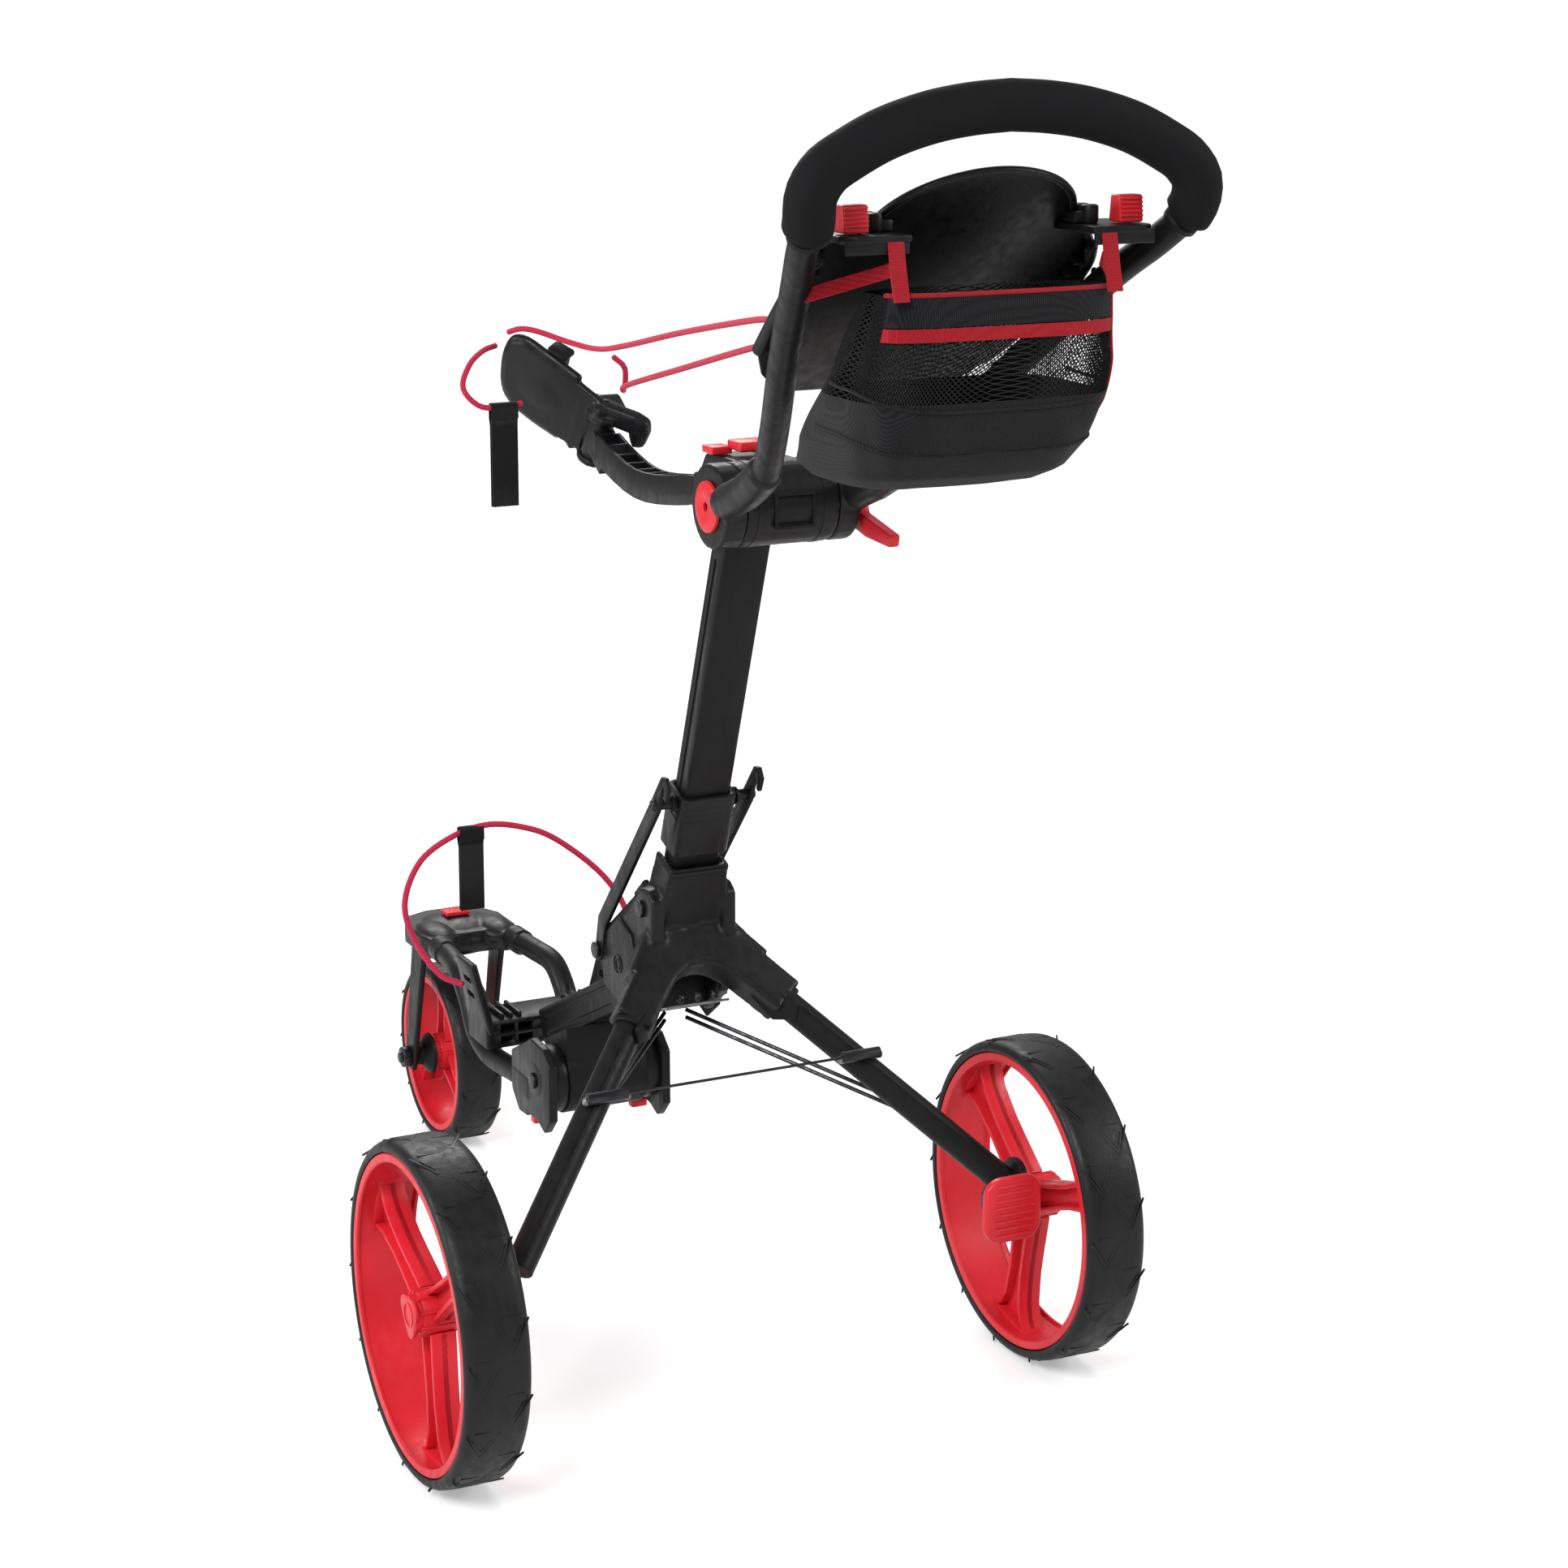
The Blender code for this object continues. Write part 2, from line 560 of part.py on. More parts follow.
# ---- front end ----
def front_arm():
    start, end = Vector((0, *ARM_FROM)), Vector((0, *ARM_TO))
    run = (end - start).normalized()
    frame = axes((1, 0, 0), (0, run.z, -run.y), (start + end) / 2)
    section = rounded(ARM_W, ARM_H, 0.004)
    arm = plate("front_arm", TUBE_BLACK, [section], (end - start).length, frame)
    slots = []
    deep, tall = 0.0012, 0.0018
    for sign in (1, -1):
        for v in (0.009, -0.009):
            u = sign * ARM_W / 2
            loop = [(u - deep, v - tall), (u + deep, v - tall), (u + deep, v + tall), (u - deep, v + tall)]
            slots.append(plate(f"arm_groove_{sign}_{v}", None, [loop], (end - start).length - 0.03, frame))
    combine(arm, slots, "DIFFERENCE")
    under = ARM_H / 2 / math.cos(math.atan2(-run.z, run.y)) + GAP
    slope = (end.z - start.z) / (end.y - start.y)
    by, bz = BARREL_AT

    def arm_bottom(y):
        return start.z + slope * (y - start.y) - under

    neck = [(by - 0.026, arm_bottom(by - 0.026)), *circle(by, bz, BARREL_R, 14, math.radians(140),
                                                          math.radians(260)),
            (by + 0.030, arm_bottom(by + 0.030))]
    plate("fold_barrel", BLACK, [neck, circle(*BARREL_AT, BOLT_R + RUN)], 2 * BARREL_X, side(0))
    bag_bracket()


def bag_bracket():
    """Saddle at the front arm's end: a floor and two wings that the bag's foot stands between."""
    middle = ARM_TO[0] + 0.034
    floor = box("bag_bracket", BLACK, (0.134, 0.052, 0.028), at(0, middle, 0.209), 0.003)
    wings = []
    for sign in (1, -1):
        lean = at(sign * 0.069, middle, 0.246) @ Matrix.Rotation(sign * math.radians(12), 4, "Y")
        wings.append(box(f"bag_wing_{sign}", None, (0.007, 0.060, 0.072), lean, 0.002, (1.0, 0.7)))
    combine(floor, wings, "UNION")


def goosenecks():
    foot_x = BARREL_X + GAP + FOOT_T / 2
    by, bz = BARREL_AT
    foot = [*circle(by, bz - 0.004, 0.040, 10, math.radians(60), math.radians(165)), (by - 0.018, 0.157),
            (by + 0.038, 0.155), (by + 0.060, 0.172), (by + 0.061, 0.205), (by + 0.045, 0.212)]
    housing_back = CASTER_Y - 0.062
    z_top = HOUSING_FROM_H + HOUSING_H / 2
    front_y = by + 0.061 + GAP
    route = [(GOOSE_X, front_y, 0.184), (GOOSE_X, front_y + 0.020, 0.182), (GOOSE_X, 0.478, 0.178),
             (GOOSE_X, 0.516, 0.190), (GOOSE_X, 0.535, 0.216), (GOOSE_X - 0.001, 0.560, z_top - 0.004),
             (0.044, 0.596, z_top), (0.040, housing_back - GAP, z_top)]
    for name, sign in (("left", -1), ("right", 1)):
        plate(f"front_foot_{name}", BLACK, [foot, circle(*BARREL_AT, BOLT_R + RUN)], FOOT_T,
              side(sign * foot_x))
        points = mirrored(smooth(route, 0.017), sign)
        pipe(f"gooseneck_{name}", TUBE_BLACK, points, GOOSE_R, 2)
    stack("front_pivot_bolt", BARREL_X + GAP + FOOT_T, BARREL_AT)


def caster():
    mid_z = HOUSING_FROM_H + HOUSING_H / 2
    crown_z = CROWN_H + CROWN_T / 2
    housing = box("caster_housing", BLACK, (0.104, 0.118, HOUSING_H), at(0, CASTER_Y - 0.003, mid_z), 0.009)
    well = rod("stem_well", None, STEM_R + RUN, 0.030, at(0, CASTER_Y, HOUSING_FROM_H + 0.005), 20)
    combine(housing, [well], "DIFFERENCE")
    box("caster_lock", RED, (0.026, 0.020, 0.005),
        at(0, CASTER_Y + 0.004, HOUSING_FROM_H + HOUSING_H + GAP + 0.0025), 0.001)
    low = FRONT_AXLE_H - 0.014
    leg_x = FORK_X + FORK_T / 2
    crown = box("caster_fork", BLACK, (2 * (FORK_X + FORK_T), 0.036, CROWN_T),
                at(0, CASTER_Y - 0.004, crown_z))
    outline = [(CASTER_Y + 0.013, CROWN_H + CROWN_T * 0.8), (CASTER_Y - 0.021, CROWN_H + CROWN_T * 0.8),
               (FRONT_AXLE_Y - 0.013, FRONT_AXLE_H), (FRONT_AXLE_Y - 0.008, low), (FRONT_AXLE_Y + 0.008, low),
               (FRONT_AXLE_Y + 0.013, FRONT_AXLE_H)]
    legs = [plate(f"fork_leg_{s}", None, [outline], FORK_T, side(s * leg_x)) for s in (1, -1)]
    stem = rod("fork_stem", None, STEM_R, CROWN_T + 0.016, at(0, CASTER_Y, crown_z + 0.008), 20)
    bores = rod("fork_bore", None, AXLE_R + RUN, 0.12, side(0, FRONT_AXLE_Y, FRONT_AXLE_H))
    combine(crown, legs + [stem], "UNION")
    combine(crown, [bores], "DIFFERENCE")
    half = FORK_X + FORK_T
    nut_r, nut_t = 0.011, 0.008
    turned("front_axle", STEEL, [
        (0, half + GAP + nut_t), (nut_r, half + GAP + nut_t), (nut_r, half + GAP), (AXLE_R, half + GAP),
        (AXLE_R, -half - GAP), (nut_r, -half - GAP), (nut_r, -half - GAP - nut_t), (0, -half - GAP - nut_t),
    ], side(0, FRONT_AXLE_Y, FRONT_AXLE_H))
    wheel("front", FRONT_R, FRONT_W, 0, FRONT_AXLE_Y, FRONT_AXLE_H, FORK_X - 0.003, SPOKE_TURN_FRONT)


# ---- upper hinge and bag cradle ----
def upper_hinge():
    """Housing on the tube's top; the handle's two yokes turn on a pin through it."""
    hy, hz = HINGE_AT
    py, pz = ARM_PIVOT
    face = 0.034
    ahead = Vector((TUBE_DIR.z, -TUBE_DIR.y))
    top = Vector(TUBE_TOP) + Vector((TUBE_DIR.y, TUBE_DIR.z)) * GAP
    front, back = top + ahead * 0.019, top - ahead * 0.019
    outline = [tuple(back), tuple(front), (face, 0.774), (face, 0.814), (0.022, hz + 0.030),
               *circle(hy, hz, HINGE_R - 0.002, 12, math.radians(80), math.radians(190))]
    hinge = plate("upper_hinge", BLACK, [outline], 2 * NOSE_HALF, side(0))
    combine(hinge, [rod("hinge_round", None, HINGE_R, 2 * HINGE_HALF, side(0, hy, hz), 28)], "UNION")
    ear_in, ear_out, ear_tip = 0.0118, 0.019, py + 0.012
    clevis = plate("arm_clevis", None, [[
        (-ear_out, face - 0.002), (ear_out, face - 0.002), (ear_out, ear_tip), (ear_in, ear_tip),
        (ear_in, face + 0.003), (-ear_in, face + 0.003), (-ear_in, ear_tip), (-ear_out, ear_tip)]], 0.024,
        at(0, 0, pz))
    combine(hinge, [clevis], "UNION")
    bores = [rod("clevis_bore", None, 0.003 + RUN, 0.05, side(0, py, pz)),
             rod("hinge_bore", None, HINGE_PIN_R + RUN, 0.12, side(0, hy, hz))]
    combine(hinge, bores, "DIFFERENCE")
    turned("arm_pin", STEEL, [
        (0, ear_out + 0.003), (0.005, ear_out + 0.003), (0.005, ear_out + GAP), (0.003, ear_out + GAP),
        (0.003, -ear_out - GAP), (0.005, -ear_out - GAP), (0.005, -ear_out - 0.003), (0, -ear_out - 0.003),
    ], side(0, py, pz))
    disc_r, disc_t = 0.021, 0.004
    outer = HINGE_HALF + 2 * GAP + YOKE_T
    turned("hinge_pin", RED, [
        (0, outer + disc_t), (disc_r, outer + disc_t), (disc_r, outer), (HINGE_PIN_R, outer),
        (HINGE_PIN_R, -outer), (disc_r, -outer), (disc_r, -outer - disc_t), (0, -outer - disc_t),
    ], side(0, hy, hz), 24)
    for name, sign in (("left", -1), ("right", 1)):
        frame = side(sign * (HINGE_HALF + GAP + YOKE_T / 2), hy, hz)
        yoke = rod(f"handle_yoke_{name}", BLACK, HINGE_R, YOKE_T, frame, 24)
        bore = rod(f"yoke_bore_{name}", None, HINGE_PIN_R + RUN, 0.04, frame)
        socket = pipe(f"yoke_socket_{name}", None, mirrored([SOCKET_FROM, SOCKET_TO], sign), SOCKET_R, 3)
        combine(yoke, [weld_mesh(socket)], "UNION")
        combine(yoke, [bore], "DIFFERENCE")
    lever = [(hy + 0.012, hz - 0.020), (hy + 0.012, hz + 0.010), (hy - 0.010, hz + 0.012),
             (hy - 0.021, hz - 0.011),
             (hy - 0.072, hz - 0.021), (hy - 0.070, hz - 0.031), (hy - 0.030, hz - 0.029)]
    plate("release_lever", RED, [lever], 0.010, side(outer + GAP + disc_t + 0.005))
    box("hinge_catch", RED, (0.034, 0.026, 0.008), at(0, -0.012, hz + HINGE_R + GAP + 0.005), 0.002)


def bracket_arm():
    """Curved arm with a pin barrel at each end, between the ears of the hinge's clevis."""
    py, pz = ARM_PIVOT
    centre = smooth([(0, py, pz), (0, 0.110, 0.785), (0, 0.190, 0.777), (0, 0.250, 0.786), (0, *CRADLE_AT)],
                    0.022)
    upper, lower = [], []
    for i, p in enumerate(centre[1:-1], 1):
        along = (centre[i + 1] - centre[i - 1]).normalized()
        out = Vector((-along.z, along.y)) * (0.0125 if i > 1 else 0.0105)
        upper.append((p.y + out.x, p.z + out.y))
        lower.append((p.y - out.x, p.z - out.y))
    end_frame = axes((1, 0, 0), (0, math.cos(CRADLE_PITCH), math.sin(CRADLE_PITCH)), (0, *CRADLE_AT))
    outline = circle(py, pz, 0.0102, 8, math.radians(90), math.radians(180)) + lower + upper[::-1]
    arm = plate("bracket_arm", BLACK, [outline], 0.022, side(0))
    barrel = rod("arm_barrel", None, 0.012, 2 * BARREL_HALF, end_frame, 20)
    tip = box("arm_tip", None, (0.020, 0.040, 0.024), end_frame @ at(0, -0.018, 0))
    pin_bore = rod("arm_pin_bore", None, 0.003 + RUN, 0.05, side(0, py, pz))
    combine(arm, [tip, barrel], "UNION")
    combine(arm, [pin_bore], "DIFFERENCE")
    return end_frame


def cradle(frame):
    """A deep wing to each side of the arm's barrel, with a plate over and under the barrel."""
    over = BARREL_HALF + GAP
    wing = box("cradle", BLACK, (0.095, WING_T, WING_H), wing_frame(frame) @ at(0.056, 0, WING_MID), 0.004)
    back = frame @ Matrix.Rotation(-TAIL_TURN, 4, "Z")
    tail = box("cradle_tail", None, (0.046, WING_T, 0.034), back @ at(0.022, 0, 0.021), 0.003)
    plates = [box(f"cradle_plate_{s}", None, (0.050, 0.028, 0.007), frame @ at(0, 0, s * (over + 0.0035)),
                  0.002)
              for s in (1, -1)]
    screw = rod("cradle_screw", None, 0.0055, 0.006, frame @ at(0, 0, over + 0.008))
    space = rod("cradle_space", None, 0.0135, 2 * over, frame, 20)
    slot = box("cradle_slot", None, (0.046, 0.050, 2 * over - 0.0008), frame @ at(0, -0.0285, 0))
    knob = box("cord_knob", None, (0.016, 0.020, 0.022), wing_frame(frame) @ at(0.060, -WING_T / 2, 0.048),
               0.002)
    combine(wing, [tail, *plates, screw, knob], "UNION")
    combine(wing, [space, slot], "DIFFERENCE")


def wing_frame(frame):
    """Local X out along the left wing, local Y square to its inner face."""
    return frame @ Matrix.Rotation(WING_TURN, 4, "Z")


# ---- handle, organiser and bag ----
HANDLE_ROUTE = [(0.0600, -0.160, 0.842), (0.0760, -0.208, 0.880), (0.1040, -0.282, 0.945),
                (0.1260, -0.345, 0.998), (0.1400, -0.382, 1.025), (0.1480, -0.408, 1.047),
                (0.1490, GRIP_Y, 1.066),
                (0.1395, GRIP_Y, 1.0805), (0.1250, GRIP_Y, 1.090), (0.0960, GRIP_Y, 1.104),
                (0.0620, GRIP_Y, 1.114),
                (0.0300, GRIP_Y, 1.119), (0.0, GRIP_Y, 1.121)]


def handle():
    """One bent tube from yoke to yoke, with a foam sleeve over its bow."""
    run = (Vector(SOCKET_TO) - Vector(SOCKET_FROM)).normalized()
    half = smooth([Vector(SOCKET_TO) + run * GAP, Vector(SOCKET_TO) + run * 0.020, *HANDLE_ROUTE], 0.0175)
    points = half + [Vector((-p.x, p.y, p.z)) for p in reversed(half[:-1])]
    pipe("handle_tube", TUBE_BLACK, points, HANDLE_R, 2)
    first = next(i for i, p in enumerate(half) if p.z > 1.040)
    grip = weld_mesh(pipe("foam_grip", FOAM, points[first:len(points) - first], GRIP_R, 2, caps=False))
    wall = grip.modifiers.new("wall", "SOLIDIFY")
    wall.thickness = GRIP_WALL
    wall.offset = -1
    wall.use_even_offset = True


def organiser():
    """Arched panel in front of the handle tubes, with a shelf, a clip and a button at each side."""
    plane = axes((1, 0, 0), (0, -0.765, 0.644), (0, *PANEL_AT))
    crown = [(u, 0.075 + 0.8 * v) for u, v in circle(0, 0, 0.078, 8, math.radians(4), math.radians(172))]
    outline = [(-0.072, -0.125), (0.072, -0.125), (0.112, -0.062), (0.114, 0.030), (0.100, 0.062), *crown,
               (-0.100, 0.062), (-0.114, 0.030), (-0.112, -0.062)]
    panel = plate("organiser_panel", BLACK, [outline], PANEL_T, plane)
    extras = []
    for sign in (1, -1):
        extras.append(box(f"shelf_{sign}", None, (0.052, 0.064, 0.005), at(sign * 0.096, -0.377, SHELF_H)))
        extras.append(box(f"tee_clip_{sign}", None, (0.022, 0.011, 0.014),
                          at(sign * 0.081, -0.372, SHELF_H + 0.008)))
        extras.append(box(f"lug_{sign}", None, (0.012, 0.030, 0.011),
                          plane @ at(sign * 0.106, -0.005, 0.006)))
        over = SHELF_H + 0.0025 + GAP + 0.0065
        name = "right" if sign > 0 else "left"
        box(f"accessory_button_{name}", RED, (0.020, 0.016, 0.012), at(sign * 0.107, -0.390, over), 0.002)
    extras += [box(f"cord_hook_{u}", None, (0.010, 0.010, 0.014), plane @ at(u, v, -0.006)) for u, v in HOOKS]
    combine(panel, extras, "UNION")


def net_bag():
    """Soft open-topped bag that hangs under the handle tubes, as one shell."""
    outer = [(-0.356, 1.000), (-0.228, 0.870), (-0.228, 0.856), (-0.345, 0.852), (-0.385, 0.872),
             (-0.410, 0.915),
             (-0.418, 0.998)]
    w = BAG_WALL
    inner = [(-0.356 - 1.4 * w, 1.02), (-0.356 - 1.4 * w, 1.000), (-0.228 - 1.4 * w, 0.870),
             (-0.232, 0.856 + w),
             (-0.345, 0.852 + w), (-0.385 + 0.7 * w, 0.872 + w), (-0.410 + w, 0.915), (-0.418 + w, 0.998),
             (-0.418 + w, 1.02)]
    bag = plate("net_bag", NET, [outer], 2 * BAG_HALF, side(0))
    hollow = plate("bag_hollow", None, [inner], 2 * (BAG_HALF - BAG_WALL), side(0))
    combine(bag, [hollow], "DIFFERENCE")


# ---- cords ----
HOOKS = [(-0.096, -0.052), (-0.086, -0.085)]     # on the panel
LOW_ROUTE = [(-0.0800, 0.470, 0.257), (-0.0980, 0.485, 0.265), (-0.1140, 0.506, 0.293),
             (-0.1220, 0.514, 0.331),
             (-0.1040, 0.518, 0.370), (-0.0700, 0.517, 0.392), (-0.0350, 0.515, 0.400),
             (0.0000, 0.513, 0.394),
             (0.0330, 0.512, 0.379), (0.0750, 0.508, 0.344), (0.1000, 0.505, 0.310), (0.1060, 0.502, 0.284),
             (0.0960, 0.488, 0.264), (0.0800, 0.472, 0.257)]
HIGH_ROUTE = [(-0.0960, -0.2470, 0.966), (-0.0900, -0.200, 0.961), (-0.0500, 0.014, 0.928),
              (-0.0260, 0.180, 0.899),
              (-0.0150, 0.268, 0.886), (-0.0250, 0.309, 0.8880), (-0.0450, 0.332, 0.8960),
              (-0.0570, 0.343, 0.8980),
              (-0.0650, 0.3545, 0.8940)]
RETURN_ROUTE = [(-0.0865, -0.2215, 0.944), (-0.0830, -0.185, 0.939), (-0.0450, 0.025, 0.898),
                (-0.0080, 0.220, 0.860),
                (0.0120, 0.276, 0.8475), (0.0180, 0.2860, 0.8530), (0.0130, 0.276, 0.868),
                (0.0010, 0.273, 0.878)]
LOOP_ROUTE = [(-0.0730, 0.363, 0.882), (-0.0900, 0.352, 0.879), (-0.1080, 0.338, 0.869),
              (-0.1190, 0.325, 0.851),
              (-0.1050, 0.322, 0.835), (-0.0830, 0.322, 0.833), (-0.0640, 0.3250, 0.835)]


def cords():
    """Elastic cords as they lie, each a tube on a smooth curve, with their webbing pull tabs."""
    pipe("lower_cord", CORD, smooth(LOW_ROUTE, 0.013), LOW_CORD_R, 2)
    pipe("upper_cord", CORD, smooth(HIGH_ROUTE, 0.015), CORD_R, 2)
    pipe("upper_cord_return", CORD, smooth(RETURN_ROUTE, 0.015), CORD_R, 2)
    pipe("upper_cord_loop", CORD, smooth(LOOP_ROUTE, 0.010), CORD_R, 2)
    tabs = (("lower_pull_tab", (-0.052, 0.516, 0.3915), LOW_CORD_R, LOW_TAB_L),
            ("upper_pull_tab", (-0.083, 0.322, 0.8300), CORD_R, HIGH_TAB_L))
    for name, (x, y, z), radius, length in tabs:
        box(name, WEBBING, (TAB_W, TAB_T, length), at(x, y, z - radius - 0.002 - length / 2))


def main():
    for name, sign in (("left", -1), ("right", 1)):
        rear_end(name, sign)
    lower_joint()
    spread_wire()
    main_tube()
    braces()
    front_arm()
    goosenecks()
    caster()
    upper_hinge()
    cradle(bracket_arm())
    handle()
    organiser()
    net_bag()
    cords()


main()
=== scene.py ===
"""Golf push trolley: looks for the folding three-wheeled frame, built round its fixed mechanical model."""

import json
import math

import bmesh
import bpy
from mathutils import Matrix, Vector


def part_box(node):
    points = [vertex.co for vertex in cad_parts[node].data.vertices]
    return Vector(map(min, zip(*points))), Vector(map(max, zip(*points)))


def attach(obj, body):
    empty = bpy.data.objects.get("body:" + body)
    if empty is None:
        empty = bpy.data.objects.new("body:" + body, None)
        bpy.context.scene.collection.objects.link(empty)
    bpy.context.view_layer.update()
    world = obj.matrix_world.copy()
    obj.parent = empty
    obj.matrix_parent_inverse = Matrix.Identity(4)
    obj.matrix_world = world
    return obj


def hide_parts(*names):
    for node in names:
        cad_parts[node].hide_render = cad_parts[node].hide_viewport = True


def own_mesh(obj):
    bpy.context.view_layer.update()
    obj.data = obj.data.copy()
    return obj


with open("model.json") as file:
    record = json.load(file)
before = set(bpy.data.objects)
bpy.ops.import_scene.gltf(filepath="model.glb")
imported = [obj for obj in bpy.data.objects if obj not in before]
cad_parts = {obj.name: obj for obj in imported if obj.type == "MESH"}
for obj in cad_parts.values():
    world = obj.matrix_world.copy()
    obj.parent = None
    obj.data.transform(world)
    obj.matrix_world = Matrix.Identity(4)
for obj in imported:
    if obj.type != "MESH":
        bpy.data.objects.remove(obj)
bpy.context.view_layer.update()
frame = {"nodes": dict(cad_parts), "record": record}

# ---- layout, metres: y counts from the rear axle here, and spot() moves it to the object's origin ----
AHEAD = 0.19925
REAR_R, FRONT_R = 0.145, 0.095
REAR_WIDE, FRONT_WIDE = 0.056, 0.048
RUBBER_WALL = 0.0115
TRACK_HALF = 0.282
FRONT_AXLE = (0.735, 0.095)
CASTER_Y = 0.705
MAIN_PIVOT, TUBE_TOP = (0.129, 0.420), (0.0068, 0.7628)
HINGE = (-0.055, 0.800)
HINGE_R = 0.034
ARM_PIVOT, CRADLE_AT = (0.050, 0.797), (0.307, 0.805)
CRADLE_PITCH = math.radians(33)
WING_TURN, TAIL_TURN = math.radians(127), math.radians(40)
BRACE_TOP = (0.088, 0.523)
FOLD_BARREL = (0.335, 0.200)
GRIP_Y = -0.414
LEG_CROSS, LEG_DIR = (0.137, 0.4055), Vector((0.147, -0.115, -0.144)).normalized()
LEG_NORMAL = Vector((0, -LEG_DIR.z, LEG_DIR.y)).normalized()
LEG_R = 0.0125
GOOSENECK_R, HANDLE_R, FOAM_R = 0.011, 0.011, 0.0176
LOW_CORD_R, HIGH_CORD_R = 0.003, 0.0025
TUBE_DIR = Vector((0, TUBE_TOP[0] - MAIN_PIVOT[0], TUBE_TOP[1] - MAIN_PIVOT[1])).normalized()
HANDLE_ROUTE = [(0.0600, -0.160, 0.842), (0.0760, -0.208, 0.880), (0.1040, -0.282, 0.945),
                (0.1260, -0.345, 0.998), (0.1400, -0.382, 1.025), (0.1480, -0.408, 1.047),
                (0.1490, GRIP_Y, 1.066),
                (0.1395, GRIP_Y, 1.0805), (0.1250, GRIP_Y, 1.090), (0.0960, GRIP_Y, 1.104),
                (0.0620, GRIP_Y, 1.114), (0.0300, GRIP_Y, 1.119), (0.0, GRIP_Y, 1.121)]
SOCKET_FROM, SOCKET_TO = Vector((0.0555, -0.0790, 0.8062)), Vector((0.0565, -0.1180, 0.8205))
SIDES = (("left", -1), ("right", 1))
BODY_OF = {node: body for body, nodes in frame["record"]["behaviour"]["bodies"].items() for node in nodes}


# ---- placing ----
def spot(x, y, z):
    """A layout point in the object's own frame."""
    return Vector((x, y - AHEAD, z))


def at(x, y, z):
    return Matrix.Translation(spot(x, y, z))


def shifted(place, x, y, z):
    """A place moved along its own axes."""
    return place @ Matrix.Translation((x, y, z))


def axes(x_axis, y_axis, origin):
    """A frame with the given X and Y directions at a layout point."""
    x_axis = Vector(x_axis).normalized()
    z_axis = x_axis.cross(Vector(y_axis)).normalized()
    turn = Matrix((x_axis, z_axis.cross(x_axis), z_axis)).transposed()
    return Matrix.Translation(spot(*origin)) @ turn.to_4x4()


def side(x, y=0.0, z=0.0):
    """Local X, Y, Z run along world Y, Z, X."""
    return axes((0, 1, 0), (0, 0, 1), (x, y, z))


def on_leg(x, forward=0.0):
    """A point on the right leg's middle line, or ahead of it."""
    return Vector((0, *LEG_CROSS)) + LEG_DIR * (x / LEG_DIR.x) + LEG_NORMAL * forward


def tube_frame(along, forward=0.0, x=0.0):
    """Local X across, Y forward and Z up the main tube."""
    ahead = Vector((0, TUBE_DIR.z, -TUBE_DIR.y))
    origin = Vector((x, *MAIN_PIVOT)) + TUBE_DIR * along + ahead * forward
    return axes((1, 0, 0), ahead, origin)


def mirrored(points, sign):
    return [Vector((sign * p[0], p[1], p[2])) for p in points]


def facing(place, sign):
    """A place on the right as it is, and one on the left turned about, so that its Z faces out."""
    return place if sign > 0 else place @ Matrix.Rotation(math.pi, 4, "X")


def both_sides(half):
    """An outline's right half followed by its left."""
    return half + [(-u, v) for u, v in reversed(half)]


def both_ends(profile, middle=()):
    """A profile's upper half, its middle and its lower half."""
    return [*profile, *middle, *[(r, -h) for r, h in reversed(profile)]]


def corners_of(node):
    return tuple(Vector(corner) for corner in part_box(node))


def seen_from(plane, points, out):
    """Layout points at a height over a plane."""
    return [tuple(plane @ Vector((u, v, out)) + Vector((0, AHEAD, 0))) for u, v in points]


# ---- finishes ----
def blank(name):
    finish = bpy.data.materials.new(name)
    finish.use_nodes = True
    nodes, links = finish.node_tree.nodes, finish.node_tree.links
    return finish, nodes, links, nodes["Principled BSDF"]


def noise(nodes, links, source, scale, detail=3.0, stretch=None):
    texture = nodes.new("ShaderNodeTexNoise")
    texture.inputs["Scale"].default_value = scale
    texture.inputs["Detail"].default_value = detail
    if stretch:
        mapping = nodes.new("ShaderNodeMapping")
        mapping.inputs["Scale"].default_value = stretch
        links.new(source, mapping.inputs["Vector"])
        source = mapping.outputs["Vector"]
    links.new(source, texture.inputs["Vector"])
    return texture.outputs["Fac"]


def spread(nodes, links, factor, low, high, start=0.35, end=0.65):
    """Carry a 0 to 1 pattern to a range of values."""
    remap = nodes.new("ShaderNodeMapRange")
    remap.inputs["From Min"].default_value = start
    remap.inputs["From Max"].default_value = end
    remap.inputs["To Min"].default_value = low
    remap.inputs["To Max"].default_value = high
    links.new(factor, remap.inputs["Value"])
    return remap.outputs["Result"]


def tint(nodes, links, factor, dark, light):
    ramp = nodes.new("ShaderNodeValToRGB")
    ramp.color_ramp.elements[0].position = 0.34
    ramp.color_ramp.elements[1].position = 0.68
    ramp.color_ramp.elements[0].color = (*dark, 1)
    ramp.color_ramp.elements[1].color = (*light, 1)
    links.new(factor, ramp.inputs["Fac"])
    return ramp.outputs["Color"]


def bump(nodes, links, shader, height, depth, strength=1.0, under=None):
    relief = nodes.new("ShaderNodeBump")
    relief.inputs["Strength"].default_value = strength
    relief.inputs["Distance"].default_value = depth
    links.new(height, relief.inputs["Height"])
    if under:
        links.new(under, relief.inputs["Normal"])
    links.new(relief.outputs["Normal"], shader.inputs["Normal"])
    return relief.outputs["Normal"]


